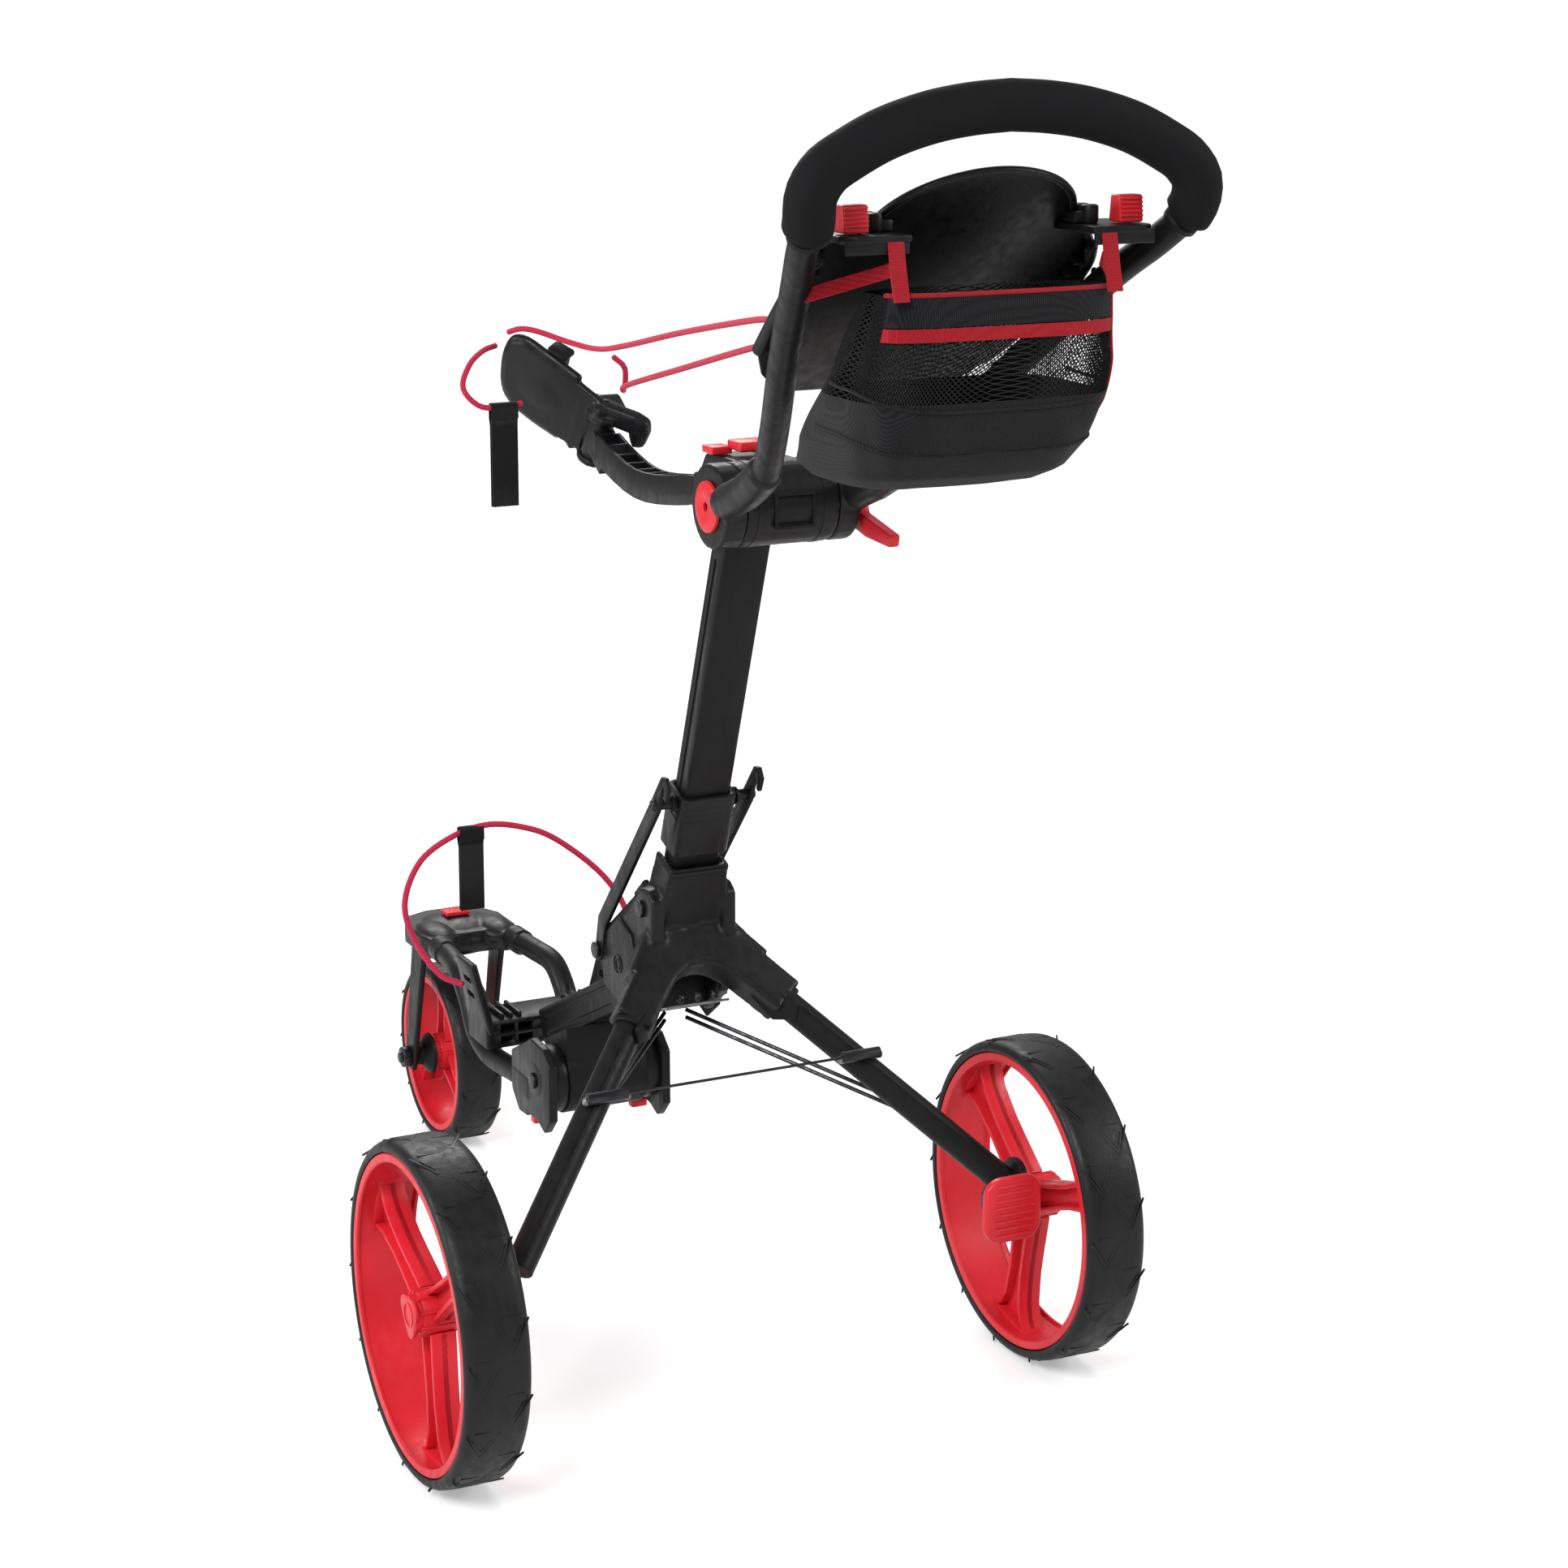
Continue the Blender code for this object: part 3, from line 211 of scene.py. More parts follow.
def moulded_finish(name, dark, light, rough, grain=900, depth=0.00012, shine=0.25):
    """Plastic, paint or rubber: fine grain, cloudy colour and uneven gloss."""
    finish, nodes, links, shader = blank(name)
    place = nodes.new("ShaderNodeTexCoord").outputs["Object"]
    fine = noise(nodes, links, place, grain, 2)
    broad = noise(nodes, links, place, 14, 5)
    scuffs = noise(nodes, links, place, 130, 4, (1, 1, 0.25))
    links.new(tint(nodes, links, broad, dark, light), shader.inputs["Base Color"])
    links.new(spread(nodes, links, scuffs, rough - 0.07, rough + 0.09), shader.inputs["Roughness"])
    bump(nodes, links, shader, fine, depth)
    shader.inputs["Specular IOR Level"].default_value = shine
    return finish


def steel_finish(name, colour, rough):
    """Plated steel with a faint drawn grain and a few dull patches."""
    finish, nodes, links, shader = blank(name)
    place = nodes.new("ShaderNodeTexCoord").outputs["Object"]
    drawn = noise(nodes, links, place, 400, 3, (0.08, 1, 1))
    broad = noise(nodes, links, place, 60, 4)
    darker = tuple(0.6 * c for c in colour)
    links.new(tint(nodes, links, broad, darker, colour), shader.inputs["Base Color"])
    links.new(spread(nodes, links, drawn, rough - 0.1, rough + 0.15), shader.inputs["Roughness"])
    bump(nodes, links, shader, drawn, 0.00005)
    shader.inputs["Metallic"].default_value = 0.9
    return finish


def woven_finish(name, dark, light, pitch, rough=0.85, coords="Object", turn=45.0, depth=0.0003):
    """Cloth or webbing: two crossed sets of threads with fuzz over them."""
    finish, nodes, links, shader = blank(name)
    source = nodes.new("ShaderNodeTexCoord").outputs[coords]
    mapping = nodes.new("ShaderNodeMapping")
    mapping.inputs["Rotation"].default_value = (0, 0, math.radians(turn))
    links.new(source, mapping.inputs["Vector"])
    heights = []
    for direction in ("X", "Y"):
        wave = nodes.new("ShaderNodeTexWave")
        wave.bands_direction = direction
        wave.inputs["Scale"].default_value = 1 / pitch / 3.2
        wave.inputs["Distortion"].default_value = 0.4
        links.new(mapping.outputs["Vector"], wave.inputs["Vector"])
        heights.append(wave.outputs["Fac"])
    both = nodes.new("ShaderNodeMath")
    both.operation = "MULTIPLY"
    links.new(heights[0], both.inputs[0])
    links.new(heights[1], both.inputs[1])
    fuzz = noise(nodes, links, source, 1800, 3)
    mixed = nodes.new("ShaderNodeMath")
    mixed.operation = "MULTIPLY_ADD"
    mixed.inputs[1].default_value = 0.35
    links.new(fuzz, mixed.inputs[0])
    links.new(both.outputs[0], mixed.inputs[2])
    links.new(tint(nodes, links, mixed.outputs[0], dark, light), shader.inputs["Base Color"])
    links.new(spread(nodes, links, fuzz, rough - 0.08, rough + 0.08), shader.inputs["Roughness"])
    bump(nodes, links, shader, mixed.outputs[0], depth)
    shader.inputs["Specular IOR Level"].default_value = 0.15
    shader.inputs["Sheen Weight"].default_value = 0.08
    shader.inputs["Sheen Roughness"].default_value = 0.5
    return finish


def foam_finish(name):
    """Closed-cell foam: fine pores over soft dents."""
    finish, nodes, links, shader = blank(name)
    place = nodes.new("ShaderNodeTexCoord").outputs["Object"]
    pores = nodes.new("ShaderNodeTexVoronoi")
    pores.inputs["Scale"].default_value = 1300
    links.new(place, pores.inputs["Vector"])
    dents = noise(nodes, links, place, 45, 3)
    links.new(tint(nodes, links, dents, (0.0045, 0.0045, 0.0052), (0.0080, 0.0080, 0.0092)),
              shader.inputs["Base Color"])
    links.new(spread(nodes, links, dents, 0.72, 0.88), shader.inputs["Roughness"])
    soft = bump(nodes, links, shader, dents, 0.0006, 0.5)
    bump(nodes, links, shader, pores.outputs["Distance"], 0.00018, 0.8, soft)
    shader.inputs["Specular IOR Level"].default_value = 0.15
    return finish


BLACK = moulded_finish("satin_black_plastic", (0.0050, 0.0050, 0.0058), (0.0095, 0.0095, 0.011), 0.38)
DARK = moulded_finish("matt_black_plastic", (0.0040, 0.0040, 0.0046), (0.0075, 0.0075, 0.0085), 0.52,
                      shine=0.20)
PAINT = moulded_finish("black_powder_coat", (0.0040, 0.0040, 0.0046), (0.0068, 0.0068, 0.0078), 0.42, 1500,
                       0.00006, 0.22)
RED = moulded_finish("red_plastic", (0.60, 0.014, 0.024), (0.72, 0.022, 0.034), 0.36, 900, 0.00006, 0.35)
RED_RIM = moulded_finish("red_rim_plastic", (0.58, 0.013, 0.024), (0.70, 0.021, 0.034), 0.38, 700, 0.00008,
                         0.35)
RUBBER = moulded_finish("tyre_rubber", (0.0050, 0.0050, 0.0056), (0.0100, 0.0100, 0.0115), 0.46, 500, 0.00016,
                        0.30)
STEEL = steel_finish("dark_steel", (0.060, 0.060, 0.066), 0.36)
BARE = steel_finish("zinc_steel", (0.36, 0.36, 0.38), 0.34)
FOAM = foam_finish("handle_foam")
CLOTH = woven_finish("black_bag_cloth", (0.005, 0.005, 0.006), (0.016, 0.016, 0.018), 0.0011)
NETTING = woven_finish("black_netting", (0.006, 0.006, 0.007), (0.020, 0.020, 0.022), 0.0009)
WEBBING = woven_finish("black_webbing", (0.006, 0.006, 0.007), (0.020, 0.020, 0.022), 0.0016, 0.8, "Object",
                       0.0)
TRIM = woven_finish("red_webbing", (0.30, 0.006, 0.013), (0.50, 0.013, 0.024), 0.0007)
BRAID = woven_finish("red_braid", (0.40, 0.012, 0.040), (0.76, 0.040, 0.110), 0.0021, 0.7, "UV", 45.0, 0.0004)


# ---- modelling ----
def deselect():
    if bpy.context.object and bpy.context.object.mode != "OBJECT":
        bpy.ops.object.mode_set(mode="OBJECT")
    bpy.ops.object.select_all(action="DESELECT")


def alone(piece):
    deselect()
    piece.select_set(True)
    bpy.context.view_layer.objects.active = piece


def apply(piece, kind, **settings):
    """Add one modifier and apply it."""
    alone(piece)
    step = piece.modifiers.new(kind.lower(), kind)
    for setting, value in settings.items():
        setattr(step, setting, value)
    bpy.ops.object.modifier_apply(modifier=step.name)
    return piece


def eased(piece, width, steps=2, angle=30):
    """Round the edges that are sharper than the angle."""
    return apply(piece, "BEVEL", width=width, segments=steps, limit_method="ANGLE",
                 angle_limit=math.radians(angle), harden_normals=False)


def outlined(name, outline, place):
    """A flat face in the outline's shape."""
    deselect()
    bpy.ops.mesh.primitive_circle_add(vertices=len(outline), radius=1, fill_type="NGON")
    piece = bpy.context.object
    piece.name = name
    for vertex, (u, v) in zip(piece.data.vertices, outline):
        vertex.co = (u, v, 0)
    piece.data.transform(place)
    return piece


def slab(name, outline, thickness, place, ease=0.0, steps=2):
    """An outline drawn, extruded both ways from its plane, and eased."""
    piece = outlined(name, outline, shifted(place, 0, 0, -thickness / 2))
    push = place.to_3x3() @ Vector((0, 0, thickness))
    bpy.ops.object.mode_set(mode="EDIT")
    bpy.ops.mesh.select_all(action="SELECT")
    bpy.ops.mesh.extrude_region_move(TRANSFORM_OT_translate={"value": push})
    bpy.ops.mesh.select_all(action="SELECT")
    bpy.ops.mesh.normals_make_consistent(inside=False)
    bpy.ops.object.mode_set(mode="OBJECT")
    return eased(piece, ease, steps) if ease else piece


def block(name, size, place, ease=0.001, steps=2):
    deselect()
    bpy.ops.mesh.primitive_cube_add(size=1)
    piece = bpy.context.object
    piece.name = name
    piece.data.transform(place @ Matrix.Diagonal((*size, 1)))
    return eased(piece, ease, steps) if ease else piece


def bar(name, radius, length, place, ease=0.0006, sides=32):
    deselect()
    bpy.ops.mesh.primitive_cylinder_add(vertices=sides, radius=radius, depth=length)
    piece = bpy.context.object
    piece.name = name
    piece.data.transform(place)
    return eased(piece, ease, 2, 50) if ease else piece


def ball(name, size, place, rings=16):
    deselect()
    bpy.ops.mesh.primitive_uv_sphere_add(segments=2 * rings, ring_count=rings, radius=0.5)
    piece = bpy.context.object
    piece.name = name
    piece.data.transform(place @ Matrix.Diagonal((*size, 1)))
    return piece


def turned(name, profile, place, steps=96):
    """A (radius, height) profile spun about local Z; it may start and end on the axis."""
    deselect()
    bpy.ops.mesh.primitive_circle_add(vertices=len(profile), radius=1, fill_type="NOTHING")
    piece = bpy.context.object
    piece.name = name
    for vertex, (radius, height) in zip(piece.data.vertices, profile):
        vertex.co = (radius, 0, height)
    bpy.ops.object.mode_set(mode="EDIT")
    if profile[0][0] == 0 and profile[-1][0] == 0:
        shape = bmesh.from_edit_mesh(piece.data)
        shape.edges.ensure_lookup_table()
        closing = [e for e in shape.edges if all(v.co.x == 0 for v in e.verts)]
        bmesh.ops.delete(shape, geom=closing, context="EDGES")
        bmesh.update_edit_mesh(piece.data)
    bpy.ops.mesh.select_all(action="SELECT")
    bpy.ops.mesh.spin(steps=steps, angle=math.tau, center=(0, 0, 0), axis=(0, 0, 1))
    bpy.ops.mesh.select_all(action="SELECT")
    bpy.ops.mesh.remove_doubles(threshold=0.00001)
    bpy.ops.mesh.normals_make_consistent(inside=False)
    bpy.ops.object.mode_set(mode="OBJECT")
    piece.data.transform(place)
    return piece


def made(name, shape, place=None):
    """An object from a finished bmesh."""
    mesh = bpy.data.meshes.new(name)
    shape.to_mesh(mesh)
    shape.free()
    if place is not None:
        mesh.transform(place)
    piece = bpy.data.objects.new(name, mesh)
    bpy.context.collection.objects.link(piece)
    return piece


def joined(name, pieces):
    deselect()
    for piece in pieces:
        piece.select_set(True)
    bpy.context.view_layer.objects.active = pieces[0]
    if len(pieces) > 1:
        bpy.ops.object.join()
    pieces[0].name = name
    return pieces[0]


def cut(piece, cutters):
    for cutter in cutters:
        apply(piece, "BOOLEAN", operation="DIFFERENCE", solver="EXACT", object=cutter)
        bpy.data.objects.remove(cutter)
    return piece


def cast(name, pieces, grain=0.002, rounds=8):
    """One moulding: the pieces melted together, with soft edges and blended corners."""
    piece = joined(name, pieces)
    apply(piece, "REMESH", mode="VOXEL", voxel_size=grain)
    if rounds:
        apply(piece, "SMOOTH", factor=0.5, iterations=rounds)
    return piece


def cad_copy(node, name):
    """A merged copy of a mechanical part's mesh."""
    piece = bpy.data.objects.new(name, frame["nodes"][node].data.copy())
    bpy.context.collection.objects.link(piece)
    piece.data.transform(frame["nodes"][node].matrix_world)
    piece.data.materials.clear()
    alone(piece)
    bpy.ops.object.mode_set(mode="EDIT")
    bpy.ops.mesh.select_all(action="SELECT")
    bpy.ops.mesh.remove_doubles(threshold=0.00002)
    bpy.ops.mesh.dissolve_limited(angle_limit=math.radians(0.5))
    bpy.ops.object.mode_set(mode="OBJECT")
    return piece


def smooth(route, spacing):
    """Evenly spaced points on a Catmull-Rom curve through the route."""
    route = [Vector(p) for p in route]
    ends = [2 * route[0] - route[1]] + route + [2 * route[-1] - route[-2]]
    fine = []
    for a, b, c, d in zip(ends, ends[1:], ends[2:], ends[3:]):
        for i in range(24):
            t = i / 24
            fine.append(0.5 * (2 * b + (c - a) * t + (2 * a - 5 * b + 4 * c - d) * t**2
                               + (3 * b - a - 3 * c + d) * t**3))
    fine.append(route[-1])
    total = sum((q - p).length for p, q in zip(fine, fine[1:]))
    count = max(2, round(total / spacing))
    points, walked, wanted = [fine[0]], 0.0, total / count
    for p, q in zip(fine, fine[1:]):
        step = (q - p).length
        while walked + step >= wanted - 1e-9 and len(points) < count:
            points.append(p.lerp(q, (wanted - walked) / step))
            wanted += total / count
        walked += step
    return points + [fine[-1]]


def hose(name, points, radius, sides=16, dome=0.35):
    """A round tube through layout points, with softly closed ends and a UV map in metres."""
    points = [spot(*p) for p in points]
    shape = bmesh.new()
    layer = shape.loops.layers.uv.new("UVMap")
    start, end = (points[1] - points[0]).normalized(), (points[-1] - points[-2]).normalized()
    soft = radius * dome
    stations = [(points[0], 1 - dome), (points[0] + start * soft, 1.0)]
    stations += [(p, 1.0) for p in points[1:-1]]
    stations += [(points[-1] - end * soft, 1.0), (points[-1], 1 - dome)]
    ahead = start
    across = ahead.orthogonal().normalized()
    rings, runs, run = [], [], 0.0
    for i, (centre, share) in enumerate(stations):
        before, after = stations[max(i - 1, 0)][0], stations[min(i + 1, len(stations) - 1)][0]
        along = (after - before).normalized()
        across = (ahead.rotation_difference(along) @ across).normalized()
        ahead = along
        other = along.cross(across)
        ring = [shape.verts.new(centre + (across * math.cos(math.tau * k / sides)
                                          + other * math.sin(math.tau * k / sides)) * radius * share)
                for k in range(sides)]
        run += (centre - before).length if i else 0.0
        rings.append(ring)
        runs.append(run)
    girth = math.tau * radius
    for i in range(len(rings) - 1):
        for k in range(sides):
            n = (k + 1) % sides
            face = shape.faces.new((rings[i][k], rings[i][n], rings[i + 1][n], rings[i + 1][k]))
            corners = ((k, i), (k + 1, i), (k + 1, i + 1), (k, i + 1))
            for loop, (around, ring) in zip(face.loops, corners):
                loop[layer].uv = (girth * around / sides, runs[ring])
    shape.faces.new(list(reversed(rings[0])))
    shape.faces.new(rings[-1])
    return made(name, shape)


def ready(piece, finish, body, replaces=(), angle=35):
    """Give a finished piece its surface and the body that it moves with."""
    piece.data.materials.clear()
    piece.data.materials.append(finish)
    alone(piece)
    bpy.ops.object.shade_smooth_by_angle(angle=math.radians(angle))
    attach(piece, body)
    if replaces:
        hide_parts(*replaces)
    return piece


def circle(u, v, radius, steps=24, start=0.0, sweep=math.tau):
    count = steps if sweep == math.tau else steps + 1
    return [(u + radius * math.cos(start + sweep * i / steps),
             v + radius * math.sin(start + sweep * i / steps))
            for i in range(count)]


def rounded(width, height, radius, steps=4):
    points = []
    for i, (su, sv) in enumerate(((1, 1), (-1, 1), (-1, -1), (1, -1))):
        points += circle(su * (width / 2 - radius), sv * (height / 2 - radius), radius, steps,
                         i * math.pi / 2, math.pi / 2)
    return points


def screw_head(name, radius, place, height=0.0025):
    """A domed head with a six-sided socket, facing local +Z."""
    head = turned(name, [(0, height * 0.9), (radius * 0.55, height), (radius * 0.9, height * 0.6),
                         (radius, 0), (radius, -0.001), (0, -0.001)], place, 24)
    socket = bar(f"{name}_socket", radius * 0.45, height * 1.2, shifted(place, 0, 0, height), 0, 6)
    return cut(head, [socket])


# ---- wheels ----
def tread_marks(name, radius, width, place, count):
    """Generic double chevrons, wrapped round the tread in two staggered rows."""
    shape = bmesh.new()
    half_line, proud, parts = 0.00085, 0.0007, 3
    size = width * 0.26

    def line(start, end):
        rings = []
        run = (Vector(end) - Vector(start)).normalized() * half_line
        across = Vector((-run.y, run.x))
        for i in range(parts + 1):
            middle = Vector(start).lerp(Vector(end), i / parts)
            ring = []
            for offset, lift in ((-1, -proud), (-0.7, proud), (0.7, proud), (1, -proud)):
                u, v = middle + across * offset
                far = radius + lift
                ring.append(shape.verts.new((far * math.cos(u / radius), far * math.sin(u / radius), v)))
            rings.append(ring)
        for a, b in zip(rings, rings[1:]):
            for k in range(4):
                shape.faces.new((a[k], a[(k + 1) % 4], b[(k + 1) % 4], b[k]))
        shape.faces.new(rings[0])
        shape.faces.new(rings[-1])

    for i in range(2 * count):
        row = 1 if i % 2 else -1
        u = math.tau * radius * i / (2 * count)
        v = row * width * 0.22
        for reach in (1.0, 0.55):
            tip = (u + reach * size, v)
            for way in (1, -1):
                line((u - reach * size * 0.8, v + way * reach * size), tip)
        line((u - size, v - size * 0.5), (u - size, v + size * 0.5))
    bmesh.ops.recalc_face_normals(shape, faces=shape.faces)
    return made(name, shape, place)


def tyre(node, radius, width, place, marks):
    """Band with rounded shoulders and raised tread lines."""
    half, bead = width / 2, radius - RUBBER_WALL
    profile = [(bead + 0.0003, half - 0.0012), (bead + 0.0015, half - 0.0004),
               (radius - 0.0085, half - 0.0001),
               (radius - 0.0060, half - 0.0006), (radius - 0.0035, half - 0.0026),
               (radius - 0.0018, half - 0.0060),
               (radius - 0.0012, half * 0.62), (radius - 0.0008, half * 0.3)]
    body = turned(f"{node}_band", both_ends(profile), place, 144)
    lines = tread_marks(f"{node}_lines", radius - 0.0013, width, place, marks)
    piece = joined(f"{node}_tread", [body, lines])
    ready(piece, RUBBER, BODY_OF[node], [node], angle=40)


def rim(node, radius, width, place, turn, hub_half, cap_side):
    """Deep barrel with three double-ribbed spokes, a stepped hub and a rounded cap."""
    half, outer = width / 2, radius - RUBBER_WALL - 0.0006
    inner = outer - 0.0045
    lip = 0.0075
    flank = [(outer, half - 0.0020), (outer - 0.0008, half - 0.0012), (outer - lip + 0.001, half - 0.0012),
             (outer - lip, half - 0.0022), (outer - lip, half - 0.0040), (inner, half - 0.0060)]
    pieces = [turned(f"{node}_barrel", both_ends(flank, [(inner - 0.0006, 0)]), place, 128)]
    hub_r = 0.019
    for i in range(3):
        here = place @ Matrix.Rotation(turn + math.tau * i / 3, 4, "Z")
        root, mid, far = hub_r - 0.003, inner * 0.60, inner + 0.0015
        edge = [(root, 0.0135), (mid * 0.75, 0.0115), (mid, 0.0112), (inner * 0.82, 0.0140),
                (inner * 0.93, 0.0200), (far, 0.0300)]
        pieces.append(slab(f"{node}_web_{i}", both_ends(edge), 0.006, here, 0.0008))
        for way in (1, -1):
            rib = [(u, way * v) for u, v in edge] + [(u, way * (v - 0.0042)) for u, v in reversed(edge)]
            pieces.append(slab(f"{node}_rib_{i}_{way}", rib, 0.022, here, 0.0010))
        pieces.append(slab(f"{node}_foot_{i}", [(far, 0.034), (inner - 0.004, 0.030), (inner - 0.004, -0.030),
                                                (far, -0.034)], 0.024, here, 0.0012))
    for low, high, r in ((-hub_half, hub_half, hub_r - 0.003), (-hub_half * 0.72, hub_half * 0.72, hub_r)):
        pieces.append(bar(f"{node}_hub_{r}", r, high - low, place, 0.0010, 48))
    for i in range(9):
        here = place @ Matrix.Rotation(math.tau * i / 9, 4, "Z")
        pieces.append(block(f"{node}_fin_{i}", (0.003, 0.0022, hub_half * 1.6),
                            shifted(here, hub_r - 0.0005, 0, 0), 0.0005))
    if cap_side:
        angles = [math.tau * i / 60 for i in range(60)]
        lobes = [(0.0175 + 0.0030 * math.cos(3 * (a - turn)), a) for a in angles]
        plan = [(r * math.cos(a), r * math.sin(a)) for r, a in lobes]
        top = shifted(place, 0, 0, cap_side * (hub_half - 0.0008))
        pieces.append(slab(f"{node}_cap", plan, 0.0030, top, 0.0009))
        ring = [(0.0105, 0.0), (0.0105, 0.0022), (0.0092, 0.0022), (0.0092, 0.0)]
        pieces.append(turned(f"{node}_ring", ring, facing(top, cap_side), 32))
    piece = joined(f"{node}_spoked", pieces)
    ready(piece, RED_RIM, BODY_OF[node], [node])


def wheels():
    """Two rear wheels with caps on their outer faces, and a smaller front wheel between its cones."""
    for name, sign, turn in (("left", -1, 24), ("right", 1, 40)):
        place = side(sign * TRACK_HALF, 0, REAR_R)
        tyre(f"rear_{name}_tyre", REAR_R, REAR_WIDE, place, 14)
        rim(f"rear_{name}_rim", REAR_R, REAR_WIDE, place, math.radians(turn), 0.024, sign)
    place = side(0, *FRONT_AXLE)
    tyre("front_tyre", FRONT_R, FRONT_WIDE, place, 11)
    rim("front_rim", FRONT_R, FRONT_WIDE, place, math.radians(95), 0.022, 0)


# ---- parts that keep their mechanical shape, with their edges eased ----
EASED = {
    "main_tube": (0.0012, PAINT), "front_arm": (0.0012, PAINT), "fold_barrel": (0.0025, DARK),
    "axle_bracket_left": (0.0010, BLACK), "axle_bracket_right": (0.0010, BLACK),
    "brace_left": (0.0006, PAINT),
    "brace_right": (0.0006, PAINT), "release_lever": (0.0018, RED), "hinge_catch": (0.0008, RED),
    "main_pivot_bolt": (0.0006, STEEL), "brace_bolt": (0.0006, STEEL), "front_pivot_bolt": (0.0006, STEEL),
    "arm_pin": (0.0004, STEEL), "brake_pin": (0.0004, STEEL), "front_axle": (0.0008, STEEL),
}


def eased_parts():
    """Plates, bolts and bars whose mechanical shape only needs softer edges."""
    for node, (width, finish) in EASED.items():
        piece = eased(cad_copy(node, f"{node}_eased"), width)
        ready(piece, finish, BODY_OF[node], [node])


# ---- lower frame ----
def lower_cover():
    """Y-shaped moulding with a lip round its mouth, bolts, a ringed side plate and socket ends."""
    down = axes((1, 0, 0), (0, LEG_DIR.y, LEG_DIR.z), (0, *LEG_CROSS))
    arch = [(0.038 * i / 8, 0.050 + 0.026 * (i / 8) ** 2) for i in range(-8, 9)]
    pieces = [cad_copy("lower_joint_cover", "cover_blank"),
              slab("cover_web", [(-0.038, 0.020), *arch, (0.038, 0.020)], 0.0320, down)]
    cheek = [(0.1060, 0.432), (0.1180, 0.440), (0.1340, 0.438), (0.1620, 0.412), (0.1960, 0.384),
             (0.2050, 0.352), (0.1960, 0.322), (0.1500, 0.312), (0.1200, 0.338), (0.1060, 0.385)]
    for sign in (1, -1):
        flare = [(0.024, -0.034), (0.0310, -0.034), (0.0325, -0.016), (0.0362, 0.001), (0.0430, 0.0155),
                 (0.0530, 0.0305), (0.0660, 0.0480), (0.050, 0.056), (0.024, 0.030)]
        pieces.append(slab(f"cover_flare_{sign}", [(sign * u, v) for u, v in flare], 0.0300, down))
        pieces.append(slab(f"cover_cheek_{sign}", cheek, 0.0130, side(sign * 0.0338)))
    shell = cast("joint_cover_shell", pieces, 0.0017, 16)
    ready(shell, BLACK, "chassis", ["lower_joint_cover"], angle=60)
    mouth = tube_frame(0.0455, -0.004)
    lip = slab("cover_lip", rounded(0.0575, 0.0345, 0.007), 0.0045, mouth, 0.0010)
    lip = cut(lip, [slab("lip_mouth", rounded(0.0452, 0.0292, 0.004), 0.02, shifted(mouth, 0, 0.0045, 0), 0)])
    ready(lip, BLACK, "chassis")
    for sign in (1, -1):
        end = on_leg(0.0735)
        across = LEG_NORMAL.cross(LEG_DIR)
        along = axes((sign * across.x, across.y, across.z), LEG_NORMAL * sign, (sign * end.x, end.y, end.z))
        collar = turned(f"leg_socket_{sign}", [(LEG_R + 0.0003, 0.0035), (LEG_R + 0.0022, 0.0035),
                                               (LEG_R + 0.0034, 0.0020), (LEG_R + 0.0036, -0.006),
                                               (LEG_R + 0.0003, -0.006)], along, 48)
        ready(collar, DARK, "chassis")
        gusset_at = on_leg(0.060, -0.006)
        gusset = slab(f"gusset_{sign}", [(-0.026, 0.004), (0.018, 0.010), (0.026, -0.002), (0.010, -0.016),
                                         (-0.018, -0.012)], 0.003,
                      axes((sign * LEG_DIR.x, LEG_DIR.y, LEG_DIR.z), (0, 0, 1),
                           (sign * gusset_at.x, gusset_at.y - 0.013, gusset_at.z - 0.010)), 0.0008)
        bolt_place = axes((1, 0, 0), (0, 0, -1), (sign * 0.062, gusset_at.y - 0.0165, gusset_at.z - 0.012))
        bolt = screw_head(f"gusset_bolt_{sign}", 0.0048, bolt_place @ Matrix.Rotation(math.pi, 4, "X"))
        ready(gusset, PAINT, "chassis")
        ready(bolt, STEEL, "chassis")
        plate = slab(f"side_plate_{sign}", [(0.150, 0.392), (0.176, 0.400), (0.214, 0.372), (0.210, 0.330),
                                            (0.165, 0.316), (0.132, 0.330), (0.128, 0.352)], 0.0036,
                     side(sign * 0.0412), 0.0012, 3)
        rings = [turned(f"plate_ring_{sign}_{r}", [(r, 0.0), (r, 0.0010), (r - 0.0011, 0.0010),
                                                   (r - 0.0011, 0.0)],
                        facing(side(sign * 0.0428, 0.176, 0.357), sign), 40) for r in (0.0090, 0.0055)]
        ready(joined(f"side_plates_{sign}", [plate, *rings]), BLACK, "chassis")
    steel = block("spread_plate", (0.060, 0.020, 0.0022),
                  axes((1, 0, 0), (0, 0.94, -0.33), (0, 0.110, 0.3330)), 0.0006)
    ready(steel, BARE, "chassis")
    screws = [screw_head(f"crotch_screw_{x}", 0.0040, axes((1, 0, 0), (0, 0, 1), (x, 0.1020, 0.3420)))
              for x in (-0.016, 0.0, 0.016)]
    ready(joined("crotch_screws", screws), STEEL, "chassis")


def joint_core():
    """Clevis of two plates on a block, which carries the front arm and the braces' lower pins."""
    plan = [(0.1200, 0.4340), (0.1380, 0.4330), (0.1980, 0.3900), (0.2240, 0.3740), (0.2310, 0.3560),
            (0.2050, 0.3140), (0.1650, 0.3000), (0.1405, 0.3180), (0.1250, 0.3600)]
    plates = [slab(f"core_plate_{s}", plan, 0.0030, side(s * 0.0383), 0.0008) for s in (1, -1)]
    middle = slab("core_block", [(0.145, 0.318), (0.169, 0.313), (0.177, 0.360), (0.150, 0.372)], 0.0766,
                  side(0), 0.001)
    ready(joined("joint_core_plates", [middle, *plates]), DARK, "chassis", ["joint_core"])


